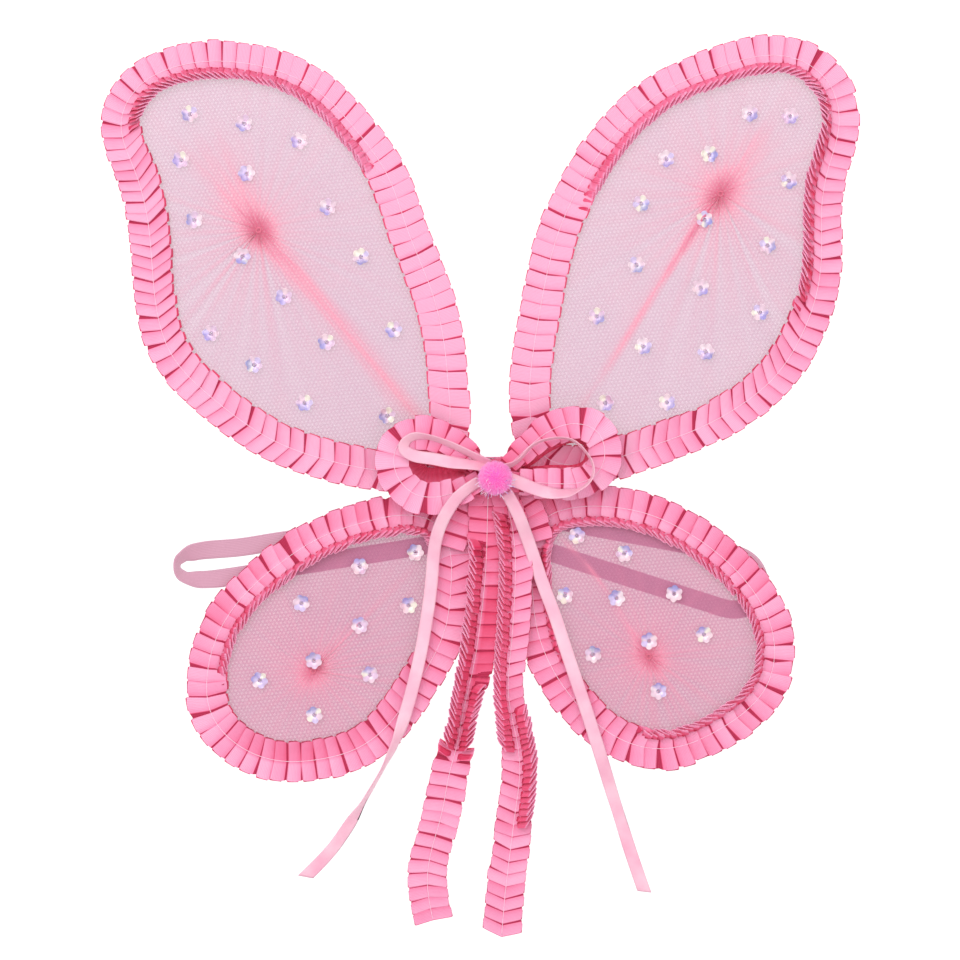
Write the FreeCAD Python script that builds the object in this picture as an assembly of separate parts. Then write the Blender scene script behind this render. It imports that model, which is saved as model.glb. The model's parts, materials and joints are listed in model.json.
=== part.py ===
import FreeCAD, Part
import math
import os

from FreeCAD import Vector

# Dress-up fairy wings lying on their back. +X is the wings' right, +Y their top, +Z out of the
# decorated front. The origin is the centre of the back patch's flat rear face. Millimetres.

# ---- driving dimensions -------------------------------------------------------------------
WIRE_DIAMETER = 2.0
NET_THICKNESS = 0.25
TRIM_HALF_WIDTH = 10.5
TRIM_THICKNESS = 4.0
NET_MARGIN = 3.0            # how far the nets reach past the wire
HINGE_X = 11.0              # where the wing wires bend, on each side of the middle
WIRE_END_GAP = 1.2          # wire end to hinge line

PATCH_WIDTH = 19.0
PATCH_HEIGHT = 50.0
PATCH_TOP = 10.0
PATCH_ROUNDING = 4.0
TWIST_BOTTOM = -36.0
TWIST_TOP = 9.2
PATCH_THICKNESS = 1.4

STRAP_WIDTH = 10.0
STRAP_THICKNESS = 0.9
STRAP_Z = 0.1

SEQUIN_RADIUS = 4.5
SEQUIN_FOOT_RADIUS = 1.8
SEQUIN_HEIGHT = 1.9
SEQUIN_WALL = 0.4
BEAD_RADIUS = 1.3
SEQUIN_GAP = 0.05           # cup above the net
BEAD_GAP = 0.02             # bead above the cup
TIE_RADIUS = 1.9

BINDING_WIDTH = 15.0
BINDING_BOTTOM = -12.5
BINDING_END = 10.4
BINDING_ROUNDING = 3.0
TUNNEL_WIDTH = 5.2          # clearance round the bundled wires
TUNNEL_HEIGHT = 3.6
STUB_SLOT = 2.6             # clearance where a wire leaves for its wing
BUNDLE_GAP = 0.1            # between two wires of the bundle
STUB_GAP = 0.6              # stub end to hinge line

SATIN_THICKNESS = 1.0
SATIN_CORD_DIAMETER = 1.8   # a round cord with the cross-section of the 7 mm satin ribbon
BOW_THICKNESS = 7.0
BOW_KNOT_X = (-5.0, 7.2)
BOW_KNOT_Y = (-9.5, 7.0)
BOW_KNOT_ROUNDING = 3.0
BOW_KNOT_RECESS = 0.4       # knot top below the top of the loops
SATIN_KNOT_X = (-4.0, 7.5)
SATIN_KNOT_Y = (-7.5, 4.0)
SATIN_KNOT_HEIGHT = 0.8
SATIN_KNOT_ROUNDING = 2.0
SATIN_GAP = 0.3             # satin loops above the ruffled loops
TAIL_THICKNESS = 3.6
TIE_HEIGHT = 1.4
POM_RADIUS = 10.0
TINSEL_STRANDS = 14
TINSEL_RADIUS = 0.2
TINSEL_LENGTH = 1.8

# ---- heights, from the back up --------------------------------------------------------------
NET_BACK_Z = 1.2
WIRE_Z = NET_BACK_Z + NET_THICKNESS + 0.15 + WIRE_DIAMETER / 2
NET_FRONT_Z = WIRE_Z + WIRE_DIAMETER / 2 + 0.15
TRIM_Z = NET_FRONT_Z + NET_THICKNESS + 0.15
TRIM_TOP = TRIM_Z + TRIM_THICKNESS
BINDING_TOP = TRIM_TOP + 0.3
TAIL_Z = BINDING_TOP + 0.1
BOW_Z = TAIL_Z + TAIL_THICKNESS + 0.3
BOW_TOP = BOW_Z + BOW_THICKNESS
POM_CENTRE = Vector(2.2, -1.7, BOW_TOP + 0.6 + POM_RADIUS)

# ---- wings: the line that each wire and its pleated trim follow --------------------------
WINGS = {
    "upper_left": {
        "line": [(-23, 26), (-23.5, 50), (-26, 74), (-33.8, 104.5), (-45.5, 134), (-57, 165),
                 (-73.5, 189), (-100, 214.5), (-134, 226.5), (-168.5, 226), (-194, 213.5),
                 (-203.4, 195), (-195.8, 167), (-187.5, 129), (-184.8, 97), (-175.8, 66.5),
                 (-153.5, 42.6), (-119.5, 19), (-83.3, 6.6), (-55, 2), (-32, 6)],
        "root": [7.6, 2.6],
        "tie": (-128, 135),
        "sequins": [(-165.7, 198.8), (-135.9, 193.7), (-105.4, 183.8), (-170.6, 173.5),
                    (-134.4, 166.1), (-89.8, 147.6), (-163.2, 140.5), (-136.8, 120.5),
                    (-71.6, 120.3), (-113.9, 98.2), (-53.5, 80.1), (-154.2, 78.1),
                    (-90.5, 73.2), (-130.4, 60.8), (-102.6, 39.8), (-57, 32.8)],
    },
    "upper_right": {
        "line": [(22, 30), (23, 66), (28.5, 99), (35, 127), (48.5, 159), (70, 190), (93, 210),
                 (123, 223.5), (152, 231), (173, 227), (187.5, 213), (191.5, 192), (185.5, 168),
                 (182, 146), (182, 122), (178.5, 97), (170, 75), (157, 55), (137.5, 38.5),
                 (115, 26), (91.5, 17), (68, 9), (46, 5.5), (30, 10)],
        "root": [7.6, 2.6],
        "tie": (126.5, 155),
        "sequins": [(142.4, 199), (164.5, 197.6), (96.4, 174.1), (120.2, 176.6), (164, 162.1),
                    (82.6, 149.5), (117.5, 140.8), (152.2, 126.5), (80, 115.8),
                    (115.4, 103.2), (58.2, 87.5), (148, 89.6), (83.8, 71), (118.3, 67.9),
                    (63, 39.8), (96.8, 40.1)],
    },
    "lower_left": {
        "line": [(-22.5, -42), (-22, -62), (-25, -84), (-34.5, -105), (-45, -122), (-58, -139),
                 (-75, -151), (-95, -156.5), (-118, -157), (-140, -148), (-154, -131),
                 (-156, -109), (-148.5, -84), (-131, -61), (-112, -45.5), (-91, -33),
                 (-68, -25.5), (-46, -22), (-30, -27)],
        "root": [-34, -20],
        "tie": (-98, -108),
        "sequins": [(-72.2, -50.2), (-41.5, -42.5), (-104.4, -70.5), (-45.3, -71.7),
                    (-72.2, -82.7), (-97.5, -102.1), (-66.6, -109.8), (-127.3, -112.9),
                    (-97.2, -132)],
    },
    "lower_right": {
        "line": [(22.5, -38), (22.5, -60), (24.5, -80), (32, -103), (45, -123), (64, -141),
                 (86, -150), (105, -149), (122, -142), (137, -132.5), (150, -119),
                 (156, -100), (153, -80), (143, -62), (127, -45), (108, -31.5), (88, -22),
                 (66, -17.5), (45, -18), (30, -24)],
        "root": [-34, -20],
        "tie": (87, -100),
        "sequins": [(47.3, -33.3), (73.3, -43.2), (40.7, -66.3), (69.2, -67.7),
                    (100.8, -65.2), (117.3, -87.8), (87, -91.3), (56.2, -98.6),
                    (92.2, -118.9)],
    },
}

# ---- bow, tails and straps ----------------------------------------------------------------
BOW_LOOPS = {
    "left": {
        "outer": [(-8, 7), (-20, 24), (-38, 33), (-54, 29), (-62, 12), (-59, -6), (-45, -18),
                  (-25, -20), (-9, -9)],
        "hole": [(-21, 3), (-31, 8), (-43, 6), (-44, -1), (-32, -4)],
    },
    "right": {
        "outer": [(9.5, 6), (22, 24), (42, 35), (62, 30), (74, 13), (69, -6), (52, -15),
                  (30, -17), (11, -9)],
        "hole": [(26, 8), (37, 15), (48, 16), (50, 9), (38, 5)],
    },
}

# Each station of a pleated tail: centre x, centre y, half width, underside height.
PLEATED_TAILS = {
    "left": [(-4.5, -11, 5, TAIL_Z), (-4, -25, 6.5, TAIL_Z), (-3, -47, 5.5, TAIL_Z),
             (-6.5, -76, 5.5, TAIL_Z - 0.4), (-11, -105, 5.5, 6.6), (-15.5, -132, 5.5, 1.6),
             (-19, -150, 5.5, 0.6), (-22.5, -163, 9, 0.5), (-27, -186, 9.5, 0.5),
             (-33, -208, 9.5, 0.5), (-35, -223, 9.5, 0.5), (-32, -246, 9.5, 0.5)],
    "right": [(8, -11, 5, TAIL_Z), (11.5, -25, 7, TAIL_Z), (14, -47, 9, TAIL_Z),
              (13.5, -70, 9, TAIL_Z), (11.5, -95, 8.5, TAIL_Z), (9.5, -119, 7.5, 6.6),
              (13, -140, 9.5, 0.8), (16, -161, 9.5, 0.5), (14, -182, 9.5, 0.5),
              (11, -205, 9.5, 0.5), (8, -230, 9.5, 0.5), (6, -254, 9.5, 0.5)],
}

SATIN_TAILS = {
    "left": [(-6.5, -3.5, 21.4), (-15.5, -8.5, 22.6), (-24, -19.5, 21.6), (-29.3, -31, 15.5),
             (-31.5, -43, 11.5), (-32.5, -59, 10.4), (-35, -78, 10.5), (-38.5, -98, 10.2),
             (-43.5, -119, 10.3), (-49, -138, 10.2), (-55, -153, 9.4), (-61.5, -165.5, 5.6),
             (-69.5, -179, 2), (-79, -194.5, 1.2), (-89.5, -209.5, 1.1),
             (-102.3, -221.7, 1.15)],
    "right": [(8.4, -9.5, 21.4), (13, -17.5, 22.4), (16.5, -25.5, 20), (19.5, -33.5, 14.2),
              (23.5, -45, 11), (28.5, -60, 10.4), (35.5, -78, 10.4), (41.5, -97, 10.2),
              (48, -116, 10.3), (54, -134, 10.4), (59, -150, 10.1), (63, -163, 6.4),
              (66.5, -174.5, 2.6), (71.5, -190, 1.15), (77.5, -209.5, 1.1),
              (84.7, -229.9, 1.15)],
}

# Each satin loop is a band round this closed line, as wide as the ribbon looks from the front.
SATIN_LOOPS = {
    "left": {
        "line": [(-8.5, 8.4), (-22, 15.5), (-36, 20.5), (-46, 18), (-45.5, 12), (-34, 9),
                 (-21, 5.5), (-9, 3.4)],
        "half_width": 1.5,
        "height": 3.0,
    },
    "right": {
        "line": [(13, 3), (26, 14), (40, 19.5), (52, 13), (56, 2), (48, -8), (32, -10),
                 (17, -5)],
        "half_width": 0.5,
        "height": 5.0,
    },
}

STRAPS = {
    "left": [(-12.8, -20), (-168.5, -43.5), (-168.5, -62), (-12.8, -35)],
    "right": [(12.8, -20), (147.5, -46), (147.5, -80), (12.8, -35)],
}


# ---- geometry helpers ----------------------------------------------------------------------
def smooth_loop(points, z):
    """Closed smooth curve through flat points."""
    curve = Part.BSplineCurve()
    curve.interpolate(Points=[Vector(x, y, z) for x, y in points], PeriodicFlag=True)
    return curve


def winding(points):
    """+1 when the closed points run anticlockwise seen from the front, -1 otherwise."""
    twice_area = 0.0
    for (x0, y0), (x1, y1) in zip(points, points[1:] + points[:1]):
        twice_area += x0 * y1 - x1 * y0
    return 1 if twice_area > 0 else -1


def offset_loop(points, distance, z, samples=44):
    """Closed smooth curve that runs distance outside the loop, or inside where negative."""
    curve = smooth_loop(points, z)
    side = winding(points)
    first = curve.FirstParameter
    last = curve.LastParameter
    moved = []
    for i in range(samples):
        at = first + (last - first) * i / samples
        along = curve.tangent(at)[0]
        outward = Vector(along.y, -along.x, 0) * side
        place = curve.value(at) + outward * distance
        moved.append((place.x, place.y))
    return smooth_loop(moved, z)


def plate(outer, height, hole=None):
    """Flat piece: the inside of one closed curve, less another, pulled up by height."""
    wires = [Part.Wire([outer.toShape()])]
    if hole is not None:
        wires.append(Part.Wire([hole.toShape()]))
    face = Part.Face(Part.Wire(wires[0]))
    if hole is not None:
        face = face.cut(Part.Face(wires[1])).Faces[0]
    return face.extrude(Vector(0, 0, height))


def rounded_path(points):
    """Straight runs joined by tangent arcs that are as large as their runs allow."""
    edges = []
    radii = []
    here = points[0]
    for before, corner, after in zip(points, points[1:], points[2:]):
        back = before - corner
        ahead = after - corner
        shorter = min(back.Length, ahead.Length)
        back.normalize()
        ahead.normalize()
        turn = math.pi - back.getAngle(ahead)
        reach = 0.45 * shorter
        radius = reach / math.tan(turn / 2)
        middle = back + ahead
        middle.normalize()
        start = corner + back * reach
        end = corner + ahead * reach
        centre_distance = math.hypot(radius, reach)
        mid = corner + middle * (centre_distance - radius)
        edges.append(Part.LineSegment(here, start).toShape())
        edges.append(Part.Arc(start, mid, end).toShape())
        radii.append(radius)
        here = end
    edges.append(Part.LineSegment(here, points[-1]).toShape())
    return Part.Wire(edges), radii


def tube(points, diameter, name):
    """Round bar or cord along a rounded path."""
    path, radii = rounded_path(points)
    start_along = points[1] - points[0]
    ring = Part.makeCircle(diameter / 2, points[0], start_along)
    solid = path.makePipeShell([Part.Wire([ring])], True, False)
    expected = math.pi * diameter ** 2 / 4 * path.Length
    print("%s: length %.1f, least radius %.1f, volume %.1f of %.1f"
          % (name, path.Length, min(radii), solid.Volume, expected))
    return solid


def block(x0, x1, y0, y1, z0, z1, rounding=0.0):
    """Box between two corners, with its upright edges rounded."""
    solid = Part.makeBox(x1 - x0, y1 - y0, z1 - z0, Vector(x0, y0, z0))
    if rounding:
        upright = [edge for edge in solid.Edges if abs(edge.tangentAt(0).z) > 0.9]
        solid = solid.makeFillet(rounding, upright)
    return solid


def save(shape, name):
    """Write one sub-part, as a group where it is made of several solids."""
    shape.exportStep("parts/%s.step" % name)


# ---- wing sub-parts ---------------------------------------------------------------------------
def side_of(wing_name):
    return -1 if wing_name.endswith("left") else 1


def wing_wire(name, wing):
    """Steel wire loop whose two ends stop at the bend beside the middle."""
    end_x = side_of(name) * (HINGE_X + WIRE_END_GAP)
    first_y, last_y = wing["root"]
    line = wing["line"]
    route = [(end_x, first_y)] + line[1:-1] + [(end_x, last_y)]
    return tube([Vector(x, y, WIRE_Z) for x, y in route], WIRE_DIAMETER, "wire " + name)


def wing_net(wing, z):
    outer = offset_loop(wing["line"], NET_MARGIN, z)
    return plate(outer, NET_THICKNESS)


def pleated_trim(wing):
    outer = offset_loop(wing["line"], TRIM_HALF_WIDTH, TRIM_Z)
    inner = offset_loop(wing["line"], -TRIM_HALF_WIDTH, TRIM_Z)
    return plate(outer, TRIM_THICKNESS, inner)


def gather_tie(wing):
    """Thread knot that draws the two nets together."""
    x, y = wing["tie"]
    base = NET_FRONT_Z + NET_THICKNESS
    return Part.makeCone(TIE_RADIUS, TIE_RADIUS / 2, TIE_HEIGHT, Vector(x, y, base))


def sequin_cup(x, y, z):
    cup = Part.makeCone(SEQUIN_FOOT_RADIUS, SEQUIN_RADIUS, SEQUIN_HEIGHT, Vector(x, y, z))
    inside = Part.makeCone(SEQUIN_FOOT_RADIUS, SEQUIN_RADIUS, SEQUIN_HEIGHT,
                           Vector(x, y, z + SEQUIN_WALL))
    return cup.cut(inside)


def sequins(wing):
    base = NET_FRONT_Z + NET_THICKNESS + SEQUIN_GAP
    return Part.makeCompound([sequin_cup(x, y, base) for x, y in wing["sequins"]])


def sequin_beads(wing):
    base = NET_FRONT_Z + NET_THICKNESS + SEQUIN_GAP + SEQUIN_WALL + BEAD_GAP
    centre_z = base + BEAD_RADIUS
    return Part.makeCompound([Part.makeSphere(BEAD_RADIUS, Vector(x, y, centre_z))
                              for x, y in wing["sequins"]])


def make_wings():
    for name, wing in WINGS.items():
        save(wing_wire(name, wing), "wing_wire_" + name)
        save(wing_net(wing, NET_BACK_Z), "net_back_" + name)
        save(wing_net(wing, NET_FRONT_Z), "net_front_" + name)
        save(pleated_trim(wing), "pleated_trim_" + name)
        save(gather_tie(wing), "gather_tie_" + name)
        save(sequins(wing), "sequins_" + name)
        save(sequin_beads(wing), "sequin_beads_" + name)


# ---- middle: patch, twisted wires and binding --------------------------------------------
def back_patch():
    return block(-PATCH_WIDTH / 2, PATCH_WIDTH / 2, PATCH_TOP - PATCH_HEIGHT, PATCH_TOP,
                 0, PATCH_THICKNESS, PATCH_ROUNDING)


def wire_twist():
    """Wire ends bundled along the middle, with a stub out to each wing wire."""
    radius = WIRE_DIAMETER / 2
    spacing = radius + BUNDLE_GAP / 2
    side_face = spacing + radius
    bars = []
    for x in (-spacing, spacing):
        for z in (WIRE_Z, WIRE_Z + 2 * spacing):
            start = Vector(x, TWIST_BOTTOM, z)
            bars.append(Part.makeCylinder(radius, TWIST_TOP - TWIST_BOTTOM, start,
                                          Vector(0, 1, 0)))
    stub_start = side_face + BUNDLE_GAP
    stub_length = HINGE_X - STUB_GAP - stub_start
    for name, wing in WINGS.items():
        side = side_of(name)
        for end_y in wing["root"]:
            start = Vector(side * stub_start, end_y, WIRE_Z)
            bars.append(Part.makeCylinder(radius, stub_length, start, Vector(side, 0, 0)))
    return Part.makeCompound(bars)


def centre_binding():
    """Ribbon wound round the bundled wires, open at its two ends and where the stubs leave."""
    wrap = block(-BINDING_WIDTH / 2, BINDING_WIDTH / 2, BINDING_BOTTOM, BINDING_END,
                 PATCH_THICKNESS + 0.1, BINDING_TOP, BINDING_ROUNDING)
    tunnel = block(-TUNNEL_WIDTH / 2, TUNNEL_WIDTH / 2, BINDING_BOTTOM - 1, BINDING_END + 1,
                   PATCH_THICKNESS, WIRE_Z + TUNNEL_HEIGHT)
    wrap = wrap.cut(tunnel)
    for stub_y in WINGS["upper_left"]["root"]:
        wrap = wrap.cut(block(-BINDING_WIDTH, BINDING_WIDTH, stub_y - STUB_SLOT / 2,
                              stub_y + STUB_SLOT / 2, PATCH_THICKNESS, WIRE_Z + STUB_SLOT / 2))
    return wrap


# ---- bow, tails, pom-pom -----------------------------------------------------------------------
def bow_loop(loop):
    outer = smooth_loop(loop["outer"], BOW_Z)
    hole = smooth_loop(loop["hole"], BOW_Z)
    return plate(outer, BOW_THICKNESS, hole)


def bow_knot():
    return block(*BOW_KNOT_X, *BOW_KNOT_Y, TAIL_Z, BOW_TOP - BOW_KNOT_RECESS, BOW_KNOT_ROUNDING)


def pleated_tail(stations):
    """Ruffled ribbon tail: a band that comes down from the knot and ends on the surface."""
    sections = []
    for i, (x, y, half, z) in enumerate(stations):
        x0, y0 = stations[max(i - 1, 0)][:2]
        x1, y1 = stations[min(i + 1, len(stations) - 1)][:2]
        along = Vector(x1 - x0, y1 - y0, 0)
        along.normalize()
        across = Vector(-along.y, along.x, 0) * half
        low = Vector(x, y, z)
        up = Vector(0, 0, TAIL_THICKNESS)
        corners = [low - across, low + across, low + across + up, low - across + up]
        sections.append(Part.makePolygon(corners + corners[:1]))
    return Part.makeLoft(sections, True, True)


def satin_loop(loop):
    outer = offset_loop(loop["line"], loop["half_width"], BOW_TOP + SATIN_GAP, 24)
    inner = offset_loop(loop["line"], -loop["half_width"], BOW_TOP + SATIN_GAP, 24)
    return plate(outer, loop["height"], inner)


def satin_knot():
    low = BOW_TOP - SATIN_GAP
    return block(*SATIN_KNOT_X, *SATIN_KNOT_Y, low, low + SATIN_KNOT_HEIGHT,
                 SATIN_KNOT_ROUNDING)


def pom_tinsel():
    """Short foil strands that stand out of the pom-pom, spread by the golden angle."""
    golden_angle = math.pi * (3 - math.sqrt(5))
    strands = []
    for i in range(TINSEL_STRANDS):
        height = 0.95 - 0.9 * i / (TINSEL_STRANDS - 1)
        ring = math.sqrt(1 - height ** 2)
        angle = golden_angle * i
        out = Vector(ring * math.cos(angle), ring * math.sin(angle), height)
        start = POM_CENTRE + out * (POM_RADIUS + BUNDLE_GAP / 2)
        strands.append(Part.makeCylinder(TINSEL_RADIUS, TINSEL_LENGTH, start, out))
    return Part.makeCompound(strands)


def make_bow():
    save(bow_knot(), "bow_knot")
    save(satin_knot(), "satin_knot")
    for side in ("left", "right"):
        save(bow_loop(BOW_LOOPS[side]), "bow_loop_" + side)
        save(pleated_tail(PLEATED_TAILS[side]), "pleated_tail_" + side)
        save(satin_loop(SATIN_LOOPS[side]), "satin_loop_" + side)
        route = [Vector(*point) for point in SATIN_TAILS[side]]
        name = "satin_tail_" + side
        save(tube(route, SATIN_CORD_DIAMETER, name), name)
    save(Part.makeSphere(POM_RADIUS, POM_CENTRE), "pom_pom")
    save(pom_tinsel(), "pom_tinsel")


# ---- shoulder straps ---------------------------------------------------------------------------
def shoulder_strap(points):
    """Flat elastic band out from the middle and back, lying behind the lower wing."""
    path, _ = rounded_path([Vector(x, y, STRAP_Z) for x, y in points])
    along = Vector(points[1][0] - points[0][0], points[1][1] - points[0][1], 0)
    along.normalize()
    across = Vector(-along.y, along.x, 0) * (STRAP_WIDTH / 2)
    start = Vector(points[0][0], points[0][1], STRAP_Z)
    up = Vector(0, 0, STRAP_THICKNESS)
    corners = [start - across, start + across, start + across + up, start - across + up]
    section = Part.makePolygon(corners + corners[:1])
    return path.makePipeShell([section], True, False)


def make_straps():
    for side, points in STRAPS.items():
        save(shoulder_strap(points), "shoulder_strap_" + side)


os.makedirs("parts", exist_ok=True)
save(back_patch(), "back_patch")
save(wire_twist(), "wire_twist")
save(centre_binding(), "centre_binding")
make_wings()
make_bow()
make_straps()
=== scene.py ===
import json
import math

import bpy
import numpy as np
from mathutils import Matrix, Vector

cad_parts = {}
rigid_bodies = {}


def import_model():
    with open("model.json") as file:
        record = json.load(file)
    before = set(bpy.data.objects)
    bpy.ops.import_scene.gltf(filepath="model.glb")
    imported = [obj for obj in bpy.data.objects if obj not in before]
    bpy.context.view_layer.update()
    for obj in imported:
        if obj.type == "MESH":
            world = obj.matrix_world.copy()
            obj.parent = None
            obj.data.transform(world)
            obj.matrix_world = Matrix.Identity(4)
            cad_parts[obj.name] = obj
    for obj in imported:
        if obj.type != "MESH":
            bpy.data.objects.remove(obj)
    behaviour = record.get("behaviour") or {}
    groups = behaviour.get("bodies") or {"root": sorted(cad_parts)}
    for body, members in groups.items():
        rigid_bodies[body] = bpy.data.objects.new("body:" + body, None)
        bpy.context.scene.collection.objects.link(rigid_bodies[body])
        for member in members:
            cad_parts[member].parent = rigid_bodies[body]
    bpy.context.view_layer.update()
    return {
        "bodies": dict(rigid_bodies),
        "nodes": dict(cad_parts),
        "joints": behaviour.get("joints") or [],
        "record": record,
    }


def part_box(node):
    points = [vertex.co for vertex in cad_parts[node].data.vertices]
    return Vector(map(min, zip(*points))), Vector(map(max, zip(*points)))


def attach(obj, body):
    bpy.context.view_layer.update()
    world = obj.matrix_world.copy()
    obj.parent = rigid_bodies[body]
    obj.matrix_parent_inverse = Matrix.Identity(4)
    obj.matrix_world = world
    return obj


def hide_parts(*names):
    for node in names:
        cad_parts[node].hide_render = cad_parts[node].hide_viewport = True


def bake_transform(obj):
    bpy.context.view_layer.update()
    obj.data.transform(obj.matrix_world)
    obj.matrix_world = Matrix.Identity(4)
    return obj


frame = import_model()
nodes = frame["nodes"]

# All lengths in this file are metres, in the part's own frame. The wings lie on their back:
# +Z comes out of the decorated front and +Y points to the wings' top.
MM = 0.001

# ---- camera -----------------------------------------------------------------------------------
VIEW_WIDTH = 0.528
LENS = 100.0
SENSOR = 36.0
AIM = (-0.006, -0.0027, 0.006)


def make_camera():
    data = bpy.data.cameras.new("camera")
    data.lens = LENS
    data.sensor_width = SENSOR
    data.clip_end = 20.0
    camera = bpy.data.objects.new("camera", data)
    camera.location = (AIM[0], AIM[1], AIM[2] + VIEW_WIDTH * LENS / SENSOR)
    bpy.context.scene.collection.objects.link(camera)
    bpy.context.scene.camera = camera


make_camera()


# ---- lines ------------------------------------------------------------------------------------
class Line:
    """Smooth curve through a few points, which is read by its length."""

    def __init__(self, points, closed=False, step=0.0008):
        p = np.array(points, float)
        if closed:
            p = np.vstack([p, p[:1]])
        spans = np.linalg.norm(np.diff(p, axis=0), axis=1)
        bend = self._bends(p, spans, closed)
        dense = []
        for i, span in enumerate(spans):
            count = max(4, int(round(span / step)))
            t = np.linspace(0, span, count, endpoint=False)[:, None]
            u = span - t
            dense.append((bend[i] * u ** 3 + bend[i + 1] * t ** 3) / (6 * span)
                         + (p[i] / span - bend[i] * span / 6) * u
                         + (p[i + 1] / span - bend[i + 1] * span / 6) * t)
        self.points = np.vstack(dense + [p[-1:]])
        self._measure(closed)

    @staticmethod
    def _bends(p, spans, closed):
        """Second derivatives at the points of a cubic spline with even curvature."""
        n = len(p)
        matrix = np.zeros((n, n))
        right = np.zeros_like(p)
        for i in range(1, n - 1):
            matrix[i, i - 1:i + 2] = spans[i - 1], 2 * (spans[i - 1] + spans[i]), spans[i]
            right[i] = 6 * ((p[i + 1] - p[i]) / spans[i] - (p[i] - p[i - 1]) / spans[i - 1])
        matrix[0, 0] = 1
        matrix[-1, -1] = 1
        if closed:
            matrix[0, -1] = -1
            matrix[-1, :2] = 2 * spans[0], spans[0]
            matrix[-1, -2:] = spans[-1], 2 * spans[-1]
            right[-1] = 6 * ((p[1] - p[0]) / spans[0] - (p[-1] - p[-2]) / spans[-1])
        return np.linalg.solve(matrix, right)

    @classmethod
    def through(cls, dense, closed=False):
        """Line along points that are already close together."""
        line = cls.__new__(cls)
        line.points = np.array(dense, float)
        line._measure(closed)
        return line

    def _measure(self, closed):
        self.closed = closed
        steps = np.linalg.norm(np.diff(self.points, axis=0), axis=1)
        self.at_length = np.concatenate([[0], np.cumsum(steps)])
        self.length = self.at_length[-1]

    def at(self, s):
        if self.closed:
            s = np.mod(s, self.length)
        inside = np.clip(s, 0, self.length)
        found = np.stack([np.interp(inside, self.at_length, self.points[:, k])
                          for k in range(self.points.shape[1])], -1)
        beyond = (np.asarray(s) - inside)[..., None]
        if self.closed or not np.any(beyond):
            return found
        return found + beyond * self._end_direction(inside)

    def _end_direction(self, s):
        first = self.points[1] - self.points[0]
        last = self.points[-1] - self.points[-2]
        first = first / np.linalg.norm(first)
        last = last / np.linalg.norm(last)
        return np.where((s > self.length / 2)[..., None], last, first)

    def direction(self, s, reach=0.0015):
        along = self.at(s + reach) - self.at(s - reach)
        return along / np.linalg.norm(along, axis=-1, keepdims=True)


def keyed(share, keys):
    """Value at a share of a line's length, from (share, value) keys, eased between them."""
    at = np.array([k[0] for k in keys], float)
    values = np.array([k[1] for k in keys], float)
    i = np.clip(np.searchsorted(at, share, side="right") - 1, 0, len(at) - 2)
    t = np.clip((share - at[i]) / (at[i + 1] - at[i]), 0, 1)
    t = t * t * (3 - 2 * t)
    return values[i] * (1 - t) + values[i + 1] * t


def ease(x):
    x = np.clip(x, 0, 1)
    return x * x * (3 - 2 * x)


def unit(v):
    return v / np.maximum(np.linalg.norm(v, axis=-1, keepdims=True), 1e-12)


# ---- meshes -----------------------------------------------------------------------------------
def grid_faces(rows, columns, close_rows=False, close_columns=False):
    r = np.arange(rows if close_rows else rows - 1)
    c = np.arange(columns if close_columns else columns - 1)
    r, c = [a.ravel() for a in np.meshgrid(r, c, indexing="ij")]
    r1 = (r + 1) % rows
    c1 = (c + 1) % columns
    return np.stack([r * columns + c, r1 * columns + c, r1 * columns + c1, r * columns + c1], -1)


def mesh_piece(name, points, faces, material, floats=None, colors=None, uv=None, smooth=True):
    """Object from points and faces, with named values and colours on its points."""
    mesh = bpy.data.meshes.new(name)
    mesh.from_pydata([tuple(p) for p in points], [], [tuple(int(i) for i in f) for f in faces])
    for key, values in (floats or {}).items():
        mesh.attributes.new(key, "FLOAT", "POINT").data.foreach_set(
            "value", np.asarray(values, np.float32))
    for key, values in (colors or {}).items():
        filled = np.ones((len(points), 4), np.float32)
        filled[:, :3] = values
        mesh.attributes.new(key, "FLOAT_COLOR", "POINT").data.foreach_set("color", filled.ravel())
    if uv is not None:
        corner = np.zeros(len(mesh.loops), np.int32)
        mesh.loops.foreach_get("vertex_index", corner)
        layer = mesh.uv_layers.new(name="UVMap")
        layer.data.foreach_set("uv", np.asarray(uv, np.float32)[corner].ravel())
    if smooth:
        mesh.polygons.foreach_set("use_smooth", [True] * len(mesh.polygons))
    mesh.materials.append(material)
    mesh.update()
    piece = bpy.data.objects.new(name, mesh)
    bpy.context.scene.collection.objects.link(piece)
    return piece


def thicken(piece, thickness):
    solid = piece.modifiers.new("thickness", "SOLIDIFY")
    solid.thickness = thickness
    solid.offset = 0.0


def settle(piece, body, stands_for=None):
    """Give a piece its body, and hide the CAD node that it stands for."""
    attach(piece, body)
    if stands_for:
        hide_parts(stands_for)


def metres(points):
    return [tuple(c * MM for c in point) for point in points]


def capped_faces(rows, columns):
    """Faces of a tube of rows, with a cap at each end."""
    last = rows * columns - 1
    faces = [tuple(f) for f in grid_faces(rows, columns, close_columns=True)]
    return faces + [tuple(range(columns)), tuple(range(last, last - columns, -1))]


def tube_mesh(centres, radius, sides=6):
    """Points and faces of a capped round tube along centres."""
    centres = np.asarray(centres, float)
    radius = np.broadcast_to(radius, len(centres))
    along = unit(np.gradient(centres, axis=0))
    side = unit(np.cross(along, (0.03, 0.02, 1.0)))
    over = np.cross(side, along)
    angle = np.linspace(0, 2 * math.pi, sides, endpoint=False)
    ring = (np.cos(angle)[None, :, None] * side[:, None]
            + np.sin(angle)[None, :, None] * over[:, None])
    points = (centres[:, None] + ring * radius[:, None, None]).reshape(-1, 3)
    return points, capped_faces(len(centres), sides)


def joined(parts):
    """Several (points, faces) as one."""
    points, faces, first = [], [], 0
    for p, f in parts:
        points.append(p)
        faces += [tuple(i + first for i in face) for face in f]
        first += len(p)
    return np.vstack(points), faces


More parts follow.
